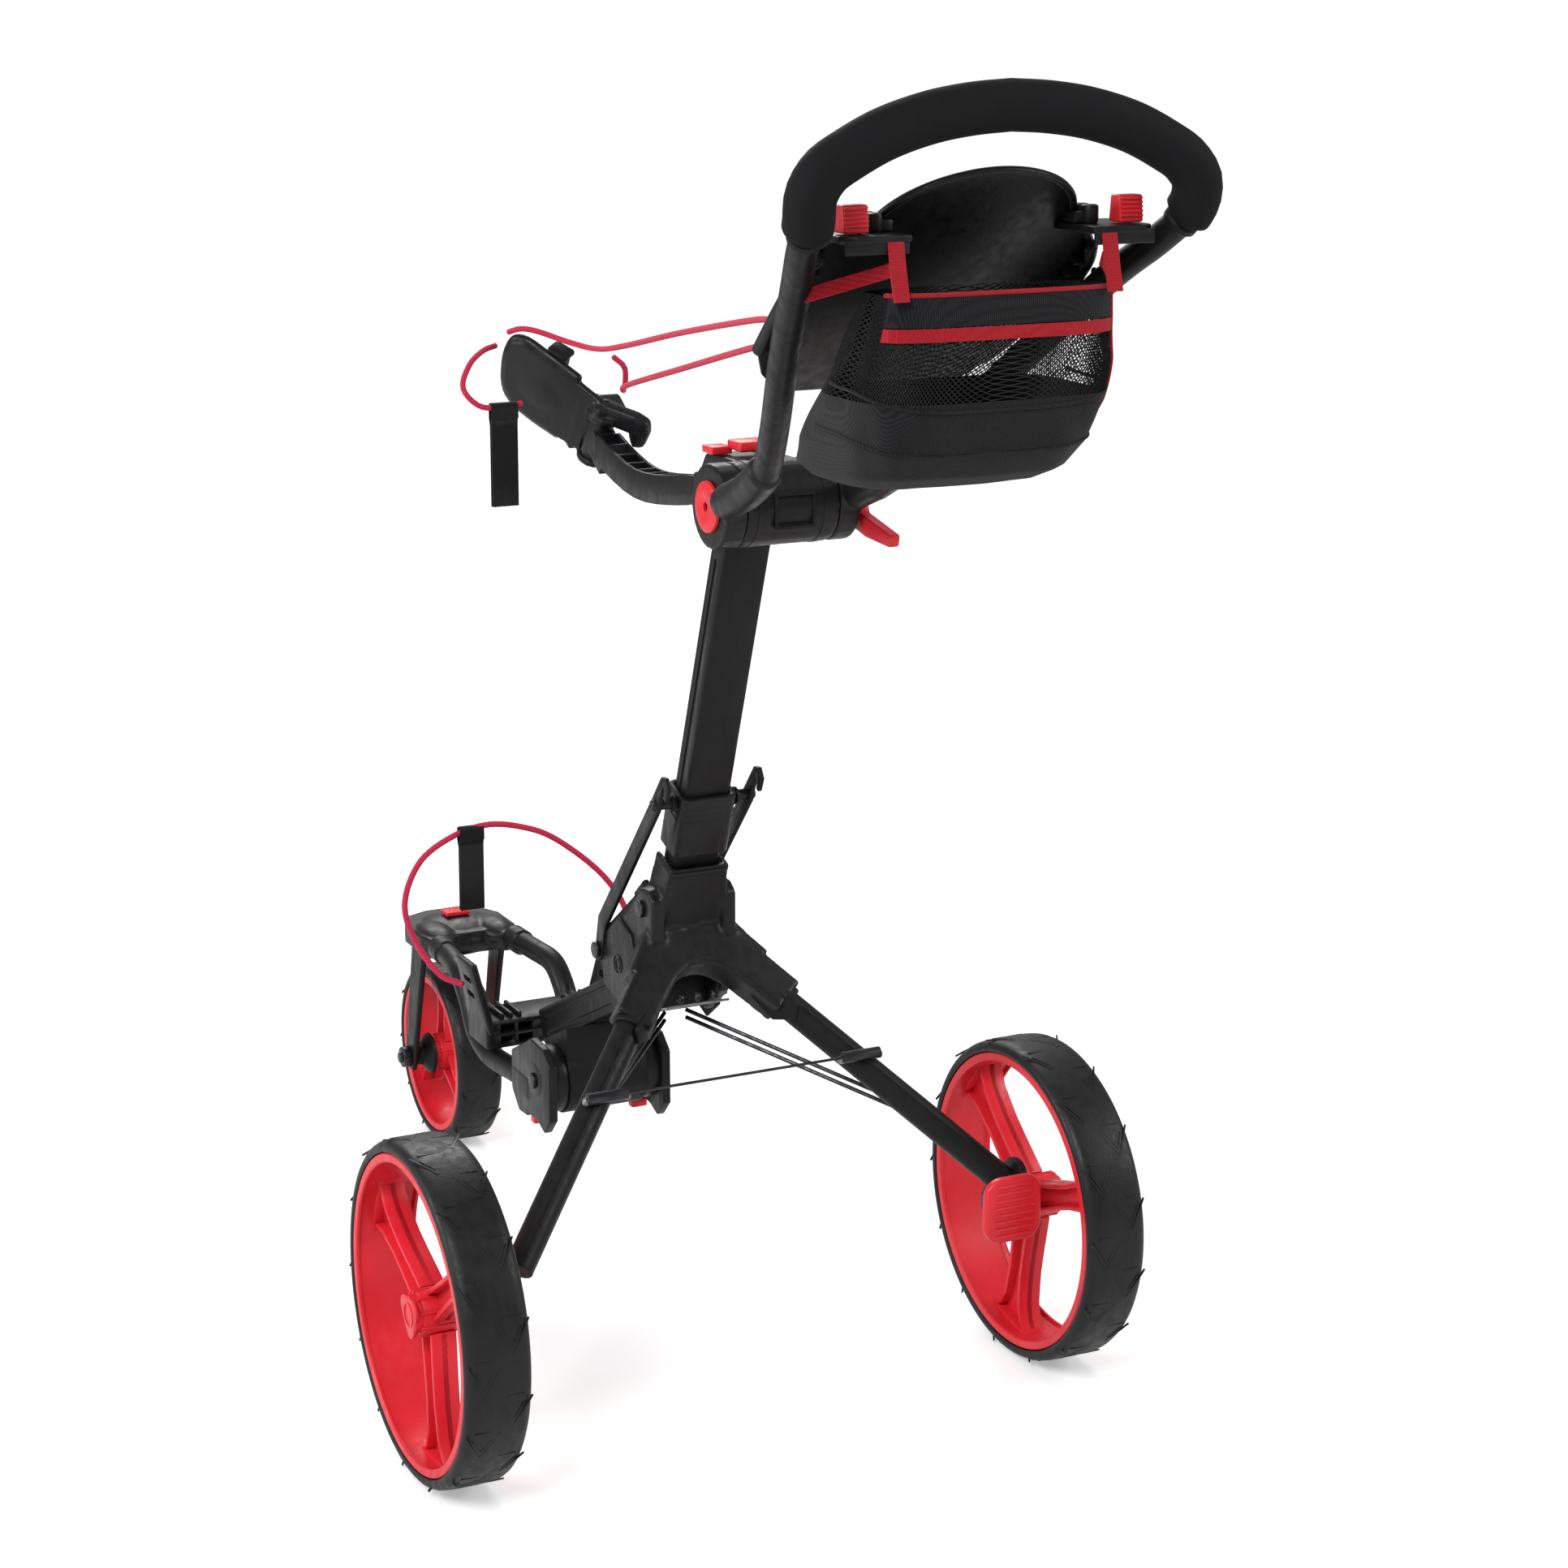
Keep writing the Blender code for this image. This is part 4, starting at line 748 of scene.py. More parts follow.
def legs():
    """Leg tubes with a seam along their underside, the wire stays, and the spread wire with its barrels."""
    for name, sign in SIDES:
        points = mirrored([on_leg(0.040), on_leg(0.100), on_leg(0.160), on_leg(0.226)], sign)
        leg = hose(f"leg_{name}_tube", points, LEG_R, 48, 0.05)
        ready(leg, PAINT, "chassis", [f"leg_{name}"])
        rail = [on_leg(x, -LEG_R + 0.0003) for x in (0.082, 0.150, 0.220)]
        seam = hose(f"leg_{name}_seam", mirrored(rail, sign), 0.0011, 8)
        ready(seam, DARK, "chassis")
        for node in (f"stay_{name}", f"wire_barrel_{name}"):
            ready(eased(cad_copy(node, f"{node}_eased"), 0.0004), STEEL, "chassis", [node])
        low, high = corners_of(f"wire_barrel_{name}")
        middle, low_z = (low + high) / 2, low.z + 0.005
        tips = [hose(f"wire_tip_{name}_{i}", [(middle.x + i * 0.021, middle.y + AHEAD, low_z),
                                              (middle.x + i * 0.015, middle.y + AHEAD, low_z)], 0.0036, 16)
                for i in (-1, 1)]
        ready(joined(f"wire_tips_{name}", tips), BARE, "chassis")
    low, high = corners_of("spread_wire")
    y, z = (low.y + high.y) / 2 + AHEAD, (low.z + high.z) / 2
    xs = [low.x + (high.x - low.x) * i / 12 for i in range(13)]
    ready(hose("spread_wire_strand", [(x, y, z) for x in xs], 0.0013, 10), STEEL, "chassis", ["spread_wire"])


def brake():
    """Foot pad with rounded corners and eight ridges, on its lever."""
    outer = corners_of("brake_pedal")[1].x
    face = axes((1, 0, 0), (0, 0, 1), (outer - 0.0305, -0.072, 0.171))
    pad = slab("brake_pad", rounded(0.0550, 0.0590, 0.016, 8), 0.0085, face, 0.0028, 4)
    ridges = [block(f"pad_ridge_{i}", (0.041 - 0.0020 * abs(i - 3.5), 0.0032, 0.0034),
                    shifted(face, 0, -0.0228 + 0.0065 * i, 0.0040), 0.0008, 3) for i in range(8)]
    lever = slab("brake_lever", [(-0.015, 0.152), (-0.018, 0.170), (-0.030, 0.171), (-0.070, 0.181),
                                 (-0.070, 0.160), (-0.036, 0.151)], 0.0050, side(outer - 0.0026), 0.0010)
    hub = bar("brake_hub", 0.0105, 0.0050, side(outer - 0.0026, -0.024, 0.160), 0.0008)
    ready(joined("brake_pedal_ribbed", [pad, *ridges, lever, hub]), RED, "brake", ["brake_pedal"])


def collar():
    """Sliding sleeve with three raised ribs, washers and the screws of the braces."""
    sleeve = eased(cad_copy("tube_collar", "collar_sleeve"), 0.0016)
    places = [tube_frame(0.098 + 0.006 * i) for i in range(3)]
    ribs = [slab(f"collar_rib_{i}", rounded(0.0526, 0.0366, 0.007), 0.0014, place, 0.0004)
            for i, place in enumerate(places)]
    ribs = [cut(rib, [slab("rib_way", rounded(0.0440, 0.0280, 0.004), 0.01, place, 0)])
            for rib, place in zip(ribs, places)]
    pins = [bar(f"collar_washer_{s}", 0.0078, 0.0022, side(s * 0.0300, *BRACE_TOP), 0.0005) for s in (1, -1)]
    ready(joined("collar_ribbed", [sleeve, *ribs, *pins]), BLACK, "collar", ["tube_collar"])
    for sign in (1, -1):
        head = screw_head(f"brace_screw_{sign}", 0.0052, facing(side(sign * 0.0452, *BRACE_TOP), sign), 0.003)
        ready(head, STEEL, "brace_pair")


# ---- front ----
def goosenecks():
    """Two bent tubes from the front feet up to the sleeves of the caster housing."""
    housing_top = 0.2389
    route = [(0.050, 0.3964, 0.184), (0.050, 0.4164, 0.182), (0.050, 0.478, 0.178), (0.050, 0.516, 0.190),
             (0.050, 0.535, 0.216), (0.049, 0.560, housing_top - 0.004), (0.044, 0.596, housing_top),
             (0.040, 0.6426, housing_top)]
    for name, sign in SIDES:
        points = [tuple(p) for p in mirrored(smooth(route, 0.006), sign)]
        ready(hose(f"gooseneck_{name}_tube", points, GOOSENECK_R, 32, 0.05), PAINT, "front_frame",
              [f"gooseneck_{name}"])
        sleeve = hose(f"gooseneck_{name}_sleeve", [(sign * 0.0412, 0.622, housing_top),
                                                   (sign * 0.0402, 0.648, housing_top)], 0.0132, 32, 0.2)
        ready(sleeve, BLACK, "front_frame")


def caster():
    """Bean-shaped housing with a domed top, over a forged fork."""
    low, high = 0.2252, 0.2526
    mid = (low + high) / 2
    plan = both_sides([(0.045, -0.055), (0.052, -0.030), (0.052, 0.018), (0.040, 0.044), (0.016, 0.0555)])
    plan += [(-0.030, -0.058), (-0.020, -0.040), (0.020, -0.040), (0.030, -0.058)]
    base = slab("housing_base", plan, 0.020, at(0, CASTER_Y - 0.003, mid - 0.0035), 0)
    dome = ball("housing_dome", (0.094, 0.094, 0.040), at(0, CASTER_Y + 0.001, mid - 0.0062))
    hips = [ball(f"housing_hip_{s}", (0.040, 0.074, 0.0270),
                 at(s * 0.032, CASTER_Y - 0.022, mid)) for s in (1, -1)]
    shell = cast("caster_housing_shell", [base, dome, *hips], 0.0016, 6)
    ready(shell, BLACK, "front_frame", ["caster_housing"], angle=60)
    button = [block("lock_body", (0.026, 0.020, 0.0045), at(0, CASTER_Y + 0.004, high + 0.0024), 0.0012, 3)]
    button += [block(f"lock_ridge_{i}", (0.0020, 0.016, 0.0012),
                     at(-0.008 + 0.004 * i, CASTER_Y + 0.004, high + 0.0048), 0.0005) for i in range(5)]
    ready(joined("caster_lock_ribbed", button), RED, "lock", ["caster_lock"])
    fork = cast("caster_fork_shell", [cad_copy("caster_fork", "fork_blank")], 0.0014, 5)
    ready(fork, PAINT, "caster", ["caster_fork"], angle=60)
    for sign in (1, -1):
        hub = facing(side(sign * 0.0460, *FRONT_AXLE), sign)
        nut = bar(f"axle_nut_{sign}", 0.0105, 0.0075, shifted(hub, 0, 0, 0.0046), 0.0010, 6)
        stud = bar(f"axle_stud_{sign}", 0.0055, 0.006, shifted(hub, 0, 0, 0.0085), 0.0008)
        ready(joined(f"axle_end_{sign}", [nut, stud]), STEEL, "caster")
        cone = turned(f"hub_cone_{sign}", [(0.0068, 0.0), (0.0100, 0.0), (0.0110, -0.0060), (0.0205, -0.0130),
                                           (0.0215, -0.0165), (0.0068, -0.0165)],
                      facing(side(sign * 0.0388, *FRONT_AXLE), sign), 40)
        ready(cone, DARK, "front_wheel")


def foot_bracket():
    """Saddle for the bag's foot, with slotted wings and a ribbed floor."""
    saddle = eased(cad_copy("bag_bracket", "saddle_blank"), 0.0008)
    cutters = [slab(f"wing_slot_{s}_{z}", rounded(0.020, 0.006, 0.0028), 0.06, side(s * 0.072, 0.470, z), 0)
               for s in (1, -1) for z in (0.246, 0.262)]
    cutters += [block(f"floor_pocket_{x}_{z}", (0.015, 0.020, 0.009), at(x, 0.447, z), 0)
                for x in (-0.045, -0.027, 0.027, 0.045) for z in (0.203, 0.215)]
    cut(saddle, cutters)
    feet = [block(f"bag_rest_{s}_{i}", (0.004, 0.040, 0.006), at(s * (0.030 + 0.009 * i), 0.471, 0.2250),
                  0.0012)
            for s in (1, -1) for i in range(3)]
    ready(joined("saddle_ribbed", [saddle, *feet]), BLACK, "chassis", ["bag_bracket"])
    bits = [block(f"fold_button_{s}", (0.016, 0.010, 0.008), at(s * 0.050, 0.352, 0.1555),
                  0.0015) for s in (1, -1)]
    ready(joined("fold_buttons", bits), RED, "front_frame")
    shield = [(0.2990, 0.222), (0.3160, 0.2360), (0.3460, 0.2380), (0.3640, 0.2280), (0.3955, 0.2120),
              (0.3955, 0.1730),
              (0.3780, 0.1560), (0.3580, 0.1570), (0.3520, 0.1620), (0.3300, 0.1600), (0.3140, 0.1540),
              (0.2990, 0.1700)]
    for name, sign in SIDES:
        plate = slab(f"front_foot_{name}_shield", shield, 0.0085, side(sign * 0.0572), 0.0018, 3)
        drum = bar(f"front_foot_{name}_drum", 0.0320, 0.0134, side(sign * 0.0464, *FOLD_BARREL), 0.0012, 56)
        arm = block(f"front_foot_{name}_arm", (0.0240, 0.0440, 0.0240), at(sign * 0.0500, 0.3735, 0.1850),
                    0.0030, 3)
        plate = joined(f"front_foot_{name}_moulding", [plate, drum, arm])
        ready(plate, BLACK, "front_frame", [f"front_foot_{name}"])
    for sign in (1, -1):
        disc = turned(f"foot_boss_{sign}", [(0, 0.0008), (0.0150, 0.0008), (0.0165, 0.0), (0, 0)],
                      facing(side(sign * 0.0614, *FOLD_BARREL), sign), 40)
        ready(disc, BLACK, "front_frame")


# ---- upper hinge, arm and cradle ----
def upper_hinge():
    hy, hz = HINGE
    shell = cast("upper_hinge_shell", [cad_copy("upper_hinge", "hinge_blank"),
                                       bar("hinge_round", HINGE_R - 0.0006, 0.0790, side(0, hy, hz), 0)],
                                       0.0016, 7)
    ready(shell, BLACK, "upright", ["upper_hinge"], angle=60)
    back = axes((1, 0, 0), (0, 0, 1), (0, hy - HINGE_R + 0.0003, hz - 0.002))
    frame_out = slab("back_frame", rounded(0.036, 0.030, 0.002), 0.0024, back, 0.0006)
    frame_out = cut(frame_out, [slab("back_window", rounded(0.030, 0.024, 0.0015), 0.01, back, 0)])
    bands = [turned(f"hinge_band_{s}", [(HINGE_R - 0.004, -0.0025), (HINGE_R + 0.0003, -0.0025),
                                        (HINGE_R + 0.0003, 0.0025), (HINGE_R - 0.004, 0.0025)],
                    side(s * 0.0285, hy, hz), 72) for s in (1, -1)]
    ready(joined("hinge_trim", [frame_out, *bands]), BLACK, "upright")
    for name, sign in SIDES:
        sleeve = [SOCKET_FROM, SOCKET_TO, (0.0580, -0.1400, 0.8315), (0.0605, -0.1640, 0.8452)]
        yoke = cast(f"yoke_{name}_shell", [cad_copy(f"handle_yoke_{name}", f"yoke_blank_{name}"),
                                           hose(f"yoke_sleeve_{name}", mirrored(sleeve, sign), 0.0142, 32)],
                                           0.0014, 6)
        ready(yoke, BLACK, "handle", [f"handle_yoke_{name}"], angle=60)
        heads = [screw_head(f"yoke_screw_{name}_{i}", 0.0038, axes((1, 0, 0), (0, 0, 1), (sign * x, y, z)))
                 for i, (x, y, z) in enumerate(((0.050, -0.0885, 0.802), (0.058, -0.0935, 0.811)))]
        ready(joined(f"yoke_screws_{name}", heads), STEEL, "handle")
        where = facing(side(sign * 0.0590, hy, hz), sign)
        disc = turned(f"hinge_disc_{name}", [(0, 0.0026), (0.0068, 0.0026), (0.0082, 0.0034),
                                             (0.0180, 0.0034),
                                             (0.0203, 0.0022), (0.0207, 0.0), (0, 0)], where, 56)
        disc = cut(disc, [bar("hex_way", 0.0042, 0.01, shifted(where, 0, 0, 0.004), 0, 6)])
        ready(disc, RED, "upright", ["hinge_pin"] if sign > 0 else ())
    front = [block(f"release_{name}", (0.018, 0.020, 0.006), at(sign * 0.022, 0.008, 0.8345), 0.0012, 3)
             for name, sign in SIDES]
    ready(joined("front_release", front), RED, "upright")


def bracket_arm():
    """Deep arm with smooth sides and a row of ribbed pockets along its top."""
    arm = eased(cad_copy("bracket_arm", "arm_blank"), 0.0010)
    centre = smooth([(0, *ARM_PIVOT), (0, 0.110, 0.785), (0, 0.190, 0.777), (0, 0.250, 0.786),
                     (0, *CRADLE_AT)], 0.022)
    pockets = []
    for a, b in zip(centre[2:-2], centre[3:-1]):
        along = (b - a).normalized()
        middle = (a + b) / 2
        lid = axes((0, along.y, along.z), (1, 0, 0), (0, middle.y - along.z * 0.0118,
                                                      middle.z + along.y * 0.0118))
        pockets.append(block(f"pocket_{middle.y:.3f}", ((b - a).length - 0.0034, 0.0165, 0.0130), lid, 0))
    cut(arm, pockets)
    ready(arm, BLACK, "bracket", ["bracket_arm"])


def cradle():
    """Deep rounded paddle to the left, short hooked tail to the right, clipped over the arm's barrel."""
    end = axes((1, 0, 0), (0, math.cos(CRADLE_PITCH), math.sin(CRADLE_PITCH)), (0, *CRADLE_AT))
    wing = end @ Matrix.Rotation(WING_TURN, 4, "Z")
    tail = end @ Matrix.Rotation(-TAIL_TURN, 4, "Z")
    paddle = [(0.000, 0.0370), (0.030, 0.0430), (0.070, 0.0490), (0.091, 0.0510), (0.1015, 0.0450),
              (0.1050, 0.0240),
              (0.100, -0.004), (0.088, -0.016), (0.066, -0.0215), (0.036, -0.024), (0.012, -0.024)]
    upright = Matrix.Rotation(math.pi / 2, 4, "X")
    blade = slab("paddle_blade", paddle, 0.0075, shifted(wing, 0, 0.001, 0) @ upright, 0.002, 2)
    lip = [wing @ Vector((u, -0.0015, v)) + Vector((0, AHEAD, 0)) for u, v in paddle[1:-1]]
    edge = hose("paddle_lip", [tuple(p) for p in smooth(lip, 0.004)], 0.0046, 12)
    pad = ball("paddle_pad", (0.070, 0.0130, 0.044), shifted(wing, 0.062, 0.0, 0.011))
    hook = slab("tail_blade", [(-0.004, 0.0370), (0.030, 0.0380), (0.042, 0.0350), (0.0450, 0.0240),
                               (0.0430, 0.0080),
                               (0.0330, 0.0040), (0.0200, 0.0120), (-0.004, 0.0220)], 0.013, tail @ upright,
                               0.003, 2)
    caps = [slab(f"cradle_cap_{s}", circle(0, 0, 0.0145, 28), 0.0066, shifted(end, 0, 0, s * 0.0238), 0.0012)
            for s in (1, -1)]
    bridge = block("cradle_bridge", (0.030, 0.024, 0.012), shifted(end, 0.004, 0.004, 0.0290), 0.003)
    back = block("cradle_back", (0.020, 0.0075, 0.060), shifted(end, -0.008, 0.0175, 0.002), 0.002)
    body = cast("cradle_shell", [blade, edge, pad, hook, *caps, bridge, back], 0.0015, 6)
    way = turned("barrel_way", [(0, 0.0203), (0.0134, 0.0203), (0.0134, -0.0203), (0, -0.0203)], end, 40)
    slot = block("arm_slot", (0.046, 0.050, 0.040), shifted(end, 0, -0.0285, 0), 0)
    cut(body, [way, slot])
    knob_at = shifted(wing, 0.058, -0.008, 0.046)
    knob = [slab("knob_post", rounded(0.016, 0.014, 0.003), 0.012, knob_at, 0.0012),
            slab("knob_top", rounded(0.021, 0.017, 0.004), 0.004, shifted(knob_at, 0, 0, 0.0095), 0.0014)]
    cut(knob[0], [block("knob_gap", (0.005, 0.03, 0.008), knob_at, 0)])
    ready(joined("cradle_knob", knob), DARK, "cradle_head")
    ready(body, BLACK, "cradle_head", ["cradle"], angle=60)
    ready(screw_head("cradle_screw", 0.0056, shifted(end, 0, 0, 0.0350)), STEEL, "cradle_head")


# ---- handle and organiser ----
def handle():
    """Bent tube with a foam grip between two short cuffs."""
    run = (SOCKET_TO - SOCKET_FROM).normalized()
    half = smooth([SOCKET_TO + run * 0.0004, SOCKET_TO + run * 0.020, *HANDLE_ROUTE], 0.006)
    points = half + [Vector((-p.x, p.y, p.z)) for p in reversed(half[:-1])]
    ready(hose("handle_bow", points, HANDLE_R, 32, 0.05), PAINT, "handle", ["handle_tube"])
    first = next(i for i, p in enumerate(half) if p.z > 1.0385)
    foam = hose("handle_foam", points[first:len(points) - first], FOAM_R, 48, 0.28)
    ready(foam, FOAM, "handle", ["foam_grip"], angle=60)
    start = half[first]
    before = start - (half[first + 1] - start).normalized() * 0.009
    for sign in (1, -1):
        cuff = hose(f"foam_cuff_{sign}", mirrored([before, start], sign), 0.0132, 32, 0.2)
        ready(cuff, DARK, "handle")


def ribbed_button(name, node):
    """Tapered button with five grip ridges on its rear face."""
    low, high = corners_of(node)
    middle = (low + high) / 2 + Vector((0, AHEAD, 0))
    body = slab(f"{name}_body", [(-0.0078, -0.0058), (0.0080, -0.0058), (0.0058, 0.0130), (-0.0058, 0.0130)],
                0.0190, side(middle.x, middle.y, middle.z), 0.0014, 3)
    ridges = [block(f"{name}_ridge_{i}", (0.0178, 0.0018, 0.0015),
                    at(middle.x, middle.y - 0.0078 + 0.0003 * i, middle.z - 0.0010 + 0.0030 * i), 0.0005)
              for i in range(5)]
    ready(joined(f"{name}_ribbed", [body, *ridges]), RED, BODY_OF[node], [node])


def organiser():
    """Arched panel with a rolled rim, wings behind the tubes, shelves, two-lobed clips and cord hooks."""
    plane = axes((1, 0, 0), (0, -0.765, 0.644), (0, -0.300, 0.990))
    crown = [(u, 0.075 + 0.8 * v) for u, v in circle(0, 0, 0.078, 24, math.radians(4), math.radians(172))]
    edge = [(0.094, -0.100), (0.112, -0.062), (0.1145, -0.010), (0.114, 0.030), (0.108, 0.052),
            (0.097, 0.066)]
    outline = [(-0.072, -0.125), (0.072, -0.125), *edge, *crown, *[(-u, v) for u, v in reversed(edge)]]
    sheet = slab("panel_sheet", outline, 0.0034, plane, 0.0008)
    roll = hose("panel_rim", smooth(seen_from(plane, outline[6:-6], 0.0012), 0.004), 0.0030, 12)
    pieces = [sheet, roll]
    for sign in (1, -1):
        side_path = [(sign * 0.112, -0.062), (sign * 0.1145, -0.010), (sign * 0.114, 0.030),
                     (sign * 0.107, 0.054)]
        pieces.append(hose(f"wing_rim_{sign}", smooth(seen_from(plane, side_path, 0.006), 0.004), 0.0052, 12))
        pieces += [block(f"wing_rib_{sign}_{i}", (0.013, 0.0020, 0.009),
                         shifted(plane, sign * 0.1070, -0.056 + 0.015 * i, 0.0055), 0.0005)
                   for i in range(7)]
        pieces.append(block(f"lug_{sign}", (0.012, 0.030, 0.012),
                            shifted(plane, sign * 0.106, -0.005, 0.007), 0.0015))
        shelf = slab(f"shelf_{sign}", [(sign * 0.0705, -0.346), (sign * 0.118, -0.346),
                                       (sign * 0.1215, -0.360),
                                       (sign * 0.1215, -0.400), (sign * 0.112, -0.4085),
                                       (sign * 0.0705, -0.4085)], 0.0052, at(0, 0, 1.035), 0.0012, 3)
        pieces.append(shelf)
        pieces.append(block(f"shelf_skirt_{sign}", (0.048, 0.0025, 0.010), at(sign * 0.0960, -0.4065, 1.0300),
                            0.0008))
        pieces += [bar(f"clip_lobe_{sign}_{y}", 0.0062, 0.0130, at(sign * 0.0845, y, 1.0440), 0.0018, 24)
                   for y in (-0.3785, -0.3665)]
        pieces.append(block(f"clip_neck_{sign}", (0.010, 0.018, 0.008), at(sign * 0.0760, -0.3725, 1.0420),
                            0.0015))
    pieces += [block(f"cord_hook_{v}", (0.010, 0.010, 0.0135), shifted(plane, u, v, -0.006), 0.0014)
               for u, v in ((-0.096, -0.052), (-0.086, -0.085))]
    ready(joined("organiser_arched", pieces), BLACK, "handle", ["organiser_panel"])
    card = slab("card_clip", rounded(0.060, 0.010, 0.003), 0.004, shifted(plane, 0, 0.045, -0.0036), 0.0012)
    ready(card, DARK, "handle")
    ribbed_button("left_button", "accessory_button_left")
    ribbed_button("right_button", "accessory_button_right")
    for sign in (1, -1):
        heads = [screw_head(f"wing_screw_{sign}_{i}", 0.0036, facing(side(sign * 0.1195, y, z), sign))
                 for i, (y, z) in enumerate(((-0.318, 0.988), (-0.330, 0.998)))]
        ready(joined(f"wing_screws_{sign}", heads), STEEL, "handle")


# ---- net bag ----
# down the bag: share of the way, height, rear, front, half width
BAG_LEVELS = [(0.00, 0.9975, -0.4165, -0.3600, 0.0890), (0.15, 0.9760, -0.4190, -0.3390, 0.0915),
              (0.35, 0.9460, -0.4195, -0.3100, 0.0940), (0.55, 0.9160, -0.4140, -0.2800, 0.0945),
              (0.75, 0.8870, -0.3990, -0.2500, 0.0925), (0.88, 0.8670, -0.3790, -0.2330, 0.0870),
              (0.96, 0.8560, -0.3520, -0.2380, 0.0730), (1.00, 0.8530, -0.3000, -0.2900, 0.0050)]
NET_FOOT = 0.50


def bag_point(u, v, out=0.0):
    """A point on the bag: u runs round it from the right, v from the mouth to the floor."""
    for low, high in zip(BAG_LEVELS, BAG_LEVELS[1:]):
        if v <= high[0]:
            share = (v - low[0]) / (high[0] - low[0])
            z, rear, front, half = (a + (b - a) * share for a, b in zip(low[1:], high[1:]))
            break
    angle = math.tau * u
    c, s = math.cos(angle), math.sin(angle)
    square = 0.52
    middle, deep = (rear + front) / 2, (front - rear) / 2
    slack = 0.0016 * math.sin(5 * angle + 9 * v) * math.sin(math.pi * v)
    slack += 0.0012 * math.sin(11 * angle - 14 * v) * v
    grow = 1 + (out + slack * (1 - v * v)) / 0.09
    x = half * math.copysign(abs(c) ** square, c) * grow
    y = middle + deep * math.copysign(abs(s) ** square, s) + (out + slack) * s
    return Vector((x, y, z))


def bag_sheet(name, u_from, u_to, v_from, v_to, across, down, thick, out=0.0):
    """A strip of the bag's surface with a real thickness."""
    shape = bmesh.new()
    whole = u_to - u_from >= 1
    columns = across if whole else across + 1
    grid = [[shape.verts.new(spot(*bag_point(u_from + (u_to - u_from) * i / across,
                                             v_from + (v_to - v_from) * j / down, out)))
             for i in range(columns)] for j in range(down + 1)]
    for upper, lower in zip(grid, grid[1:]):
        for i in range(across):
            n = (i + 1) % columns
            shape.faces.new((upper[i], lower[i], lower[n], upper[n]))
    if v_to >= 1:
        shape.faces.new(grid[-1])
    bmesh.ops.recalc_face_normals(shape, faces=shape.faces)
    return apply(made(name, shape), "SOLIDIFY", thickness=thick, offset=0.0)


def netting(name, v_from, v_to, across, down):
    """Knotless diamond netting over the bag's upper part."""
    shape = bmesh.new()
    points = {}
    for j in range(down + 1):
        for i in range(across):
            if (i + j) % 2 == 0:
                v = v_from + (v_to - v_from) * j / down
                points[i, j] = shape.verts.new(spot(*bag_point(i / across, v)))
    for j in range(1, down):
        for i in range(across):
            if (i + j) % 2:
                corners = [points[i, j - 1], points[(i - 1) % across, j], points[i, j + 1],
                           points[(i + 1) % across, j]]
                shape.faces.new(corners)
    bmesh.ops.recalc_face_normals(shape, faces=shape.faces)
    return apply(made(name, shape), "WIREFRAME", thickness=0.00115, use_replace=True, use_even_offset=False)


def net_bag():
    """Cloth base, netting above it, a banded and piped mouth, seams and four straps."""
    base = bag_sheet("bag_base", 0, 1, NET_FOOT, 1.0, 160, 28, 0.0012)
    ready(base, CLOTH, "handle", ["net_bag"], angle=60)
    ready(netting("bag_netting", 0.0, NET_FOOT + 0.02, 300, 40), NETTING, "handle", angle=60)
    rear = (0.56, 0.94)
    band = bag_sheet("bag_mouth_band", *rear, 0.0, 0.15, 70, 6, 0.0014, 0.0006)
    ready(band, CLOTH, "handle", angle=60)
    red = bag_sheet("bag_red_band", *rear, 0.155, 0.215, 90, 4, 0.0016, 0.0010)
    ready(red, TRIM, "handle", angle=60)
    pipes = [hose("mouth_piping", [bag_point(0.54 + 0.42 * i / 60, 0.0, 0.0008) for i in range(61)], 0.0017,
                  10),
             hose("corner_piping", [bag_point(0.935, 0.80 * i / 40, 0.0012) for i in range(41)], 0.0014, 10)]
    ready(joined("bag_piping", pipes), TRIM, "handle", angle=60)
    seams = [hose(f"bag_seam_{i}", [bag_point(0.48 + 0.54 * k / 60, v + 0.10 * math.sin(math.pi * k / 60),
                                              0.0008)
                                    for k in range(61)], 0.0012, 8) for i,
                                    v in enumerate((NET_FOOT - 0.06, 0.66))]
    ready(joined("bag_seams", seams), CLOTH, "handle", angle=60)
    straps = []
    for sign in (1, -1):
        straps.append(slab(f"corner_strap_{sign}", [(-0.4085, 1.0335), (-0.4070, 1.0335), (-0.4110, 1.012),
                                                    (-0.4165, 0.994), (-0.4185, 0.994), (-0.4130, 1.014)],
                                                    0.012, side(sign * 0.0830), 0.0004, 1))
        a, b = Vector((sign * 0.078, -0.4060, 1.016)), Vector((sign * 0.124, -0.352, 0.994))
        straps.append(block(f"tube_strap_{sign}", ((b - a).length, 0.010, 0.0014),
                            axes(b - a, (0, -0.25, 1), (a + b) / 2), 0.0004, 1))
    ready(joined("bag_straps", straps), TRIM, "handle", angle=40)


# ---- stage ----
def seen_share(nodes, links, lighting, seen):
    """One strength for light that falls on the object, another for what stands behind it in the picture."""
    path = nodes.new("ShaderNodeLightPath")
    return spread(nodes, links, path.outputs["Is Camera Ray"], lighting, seen, 0.0, 1.0)


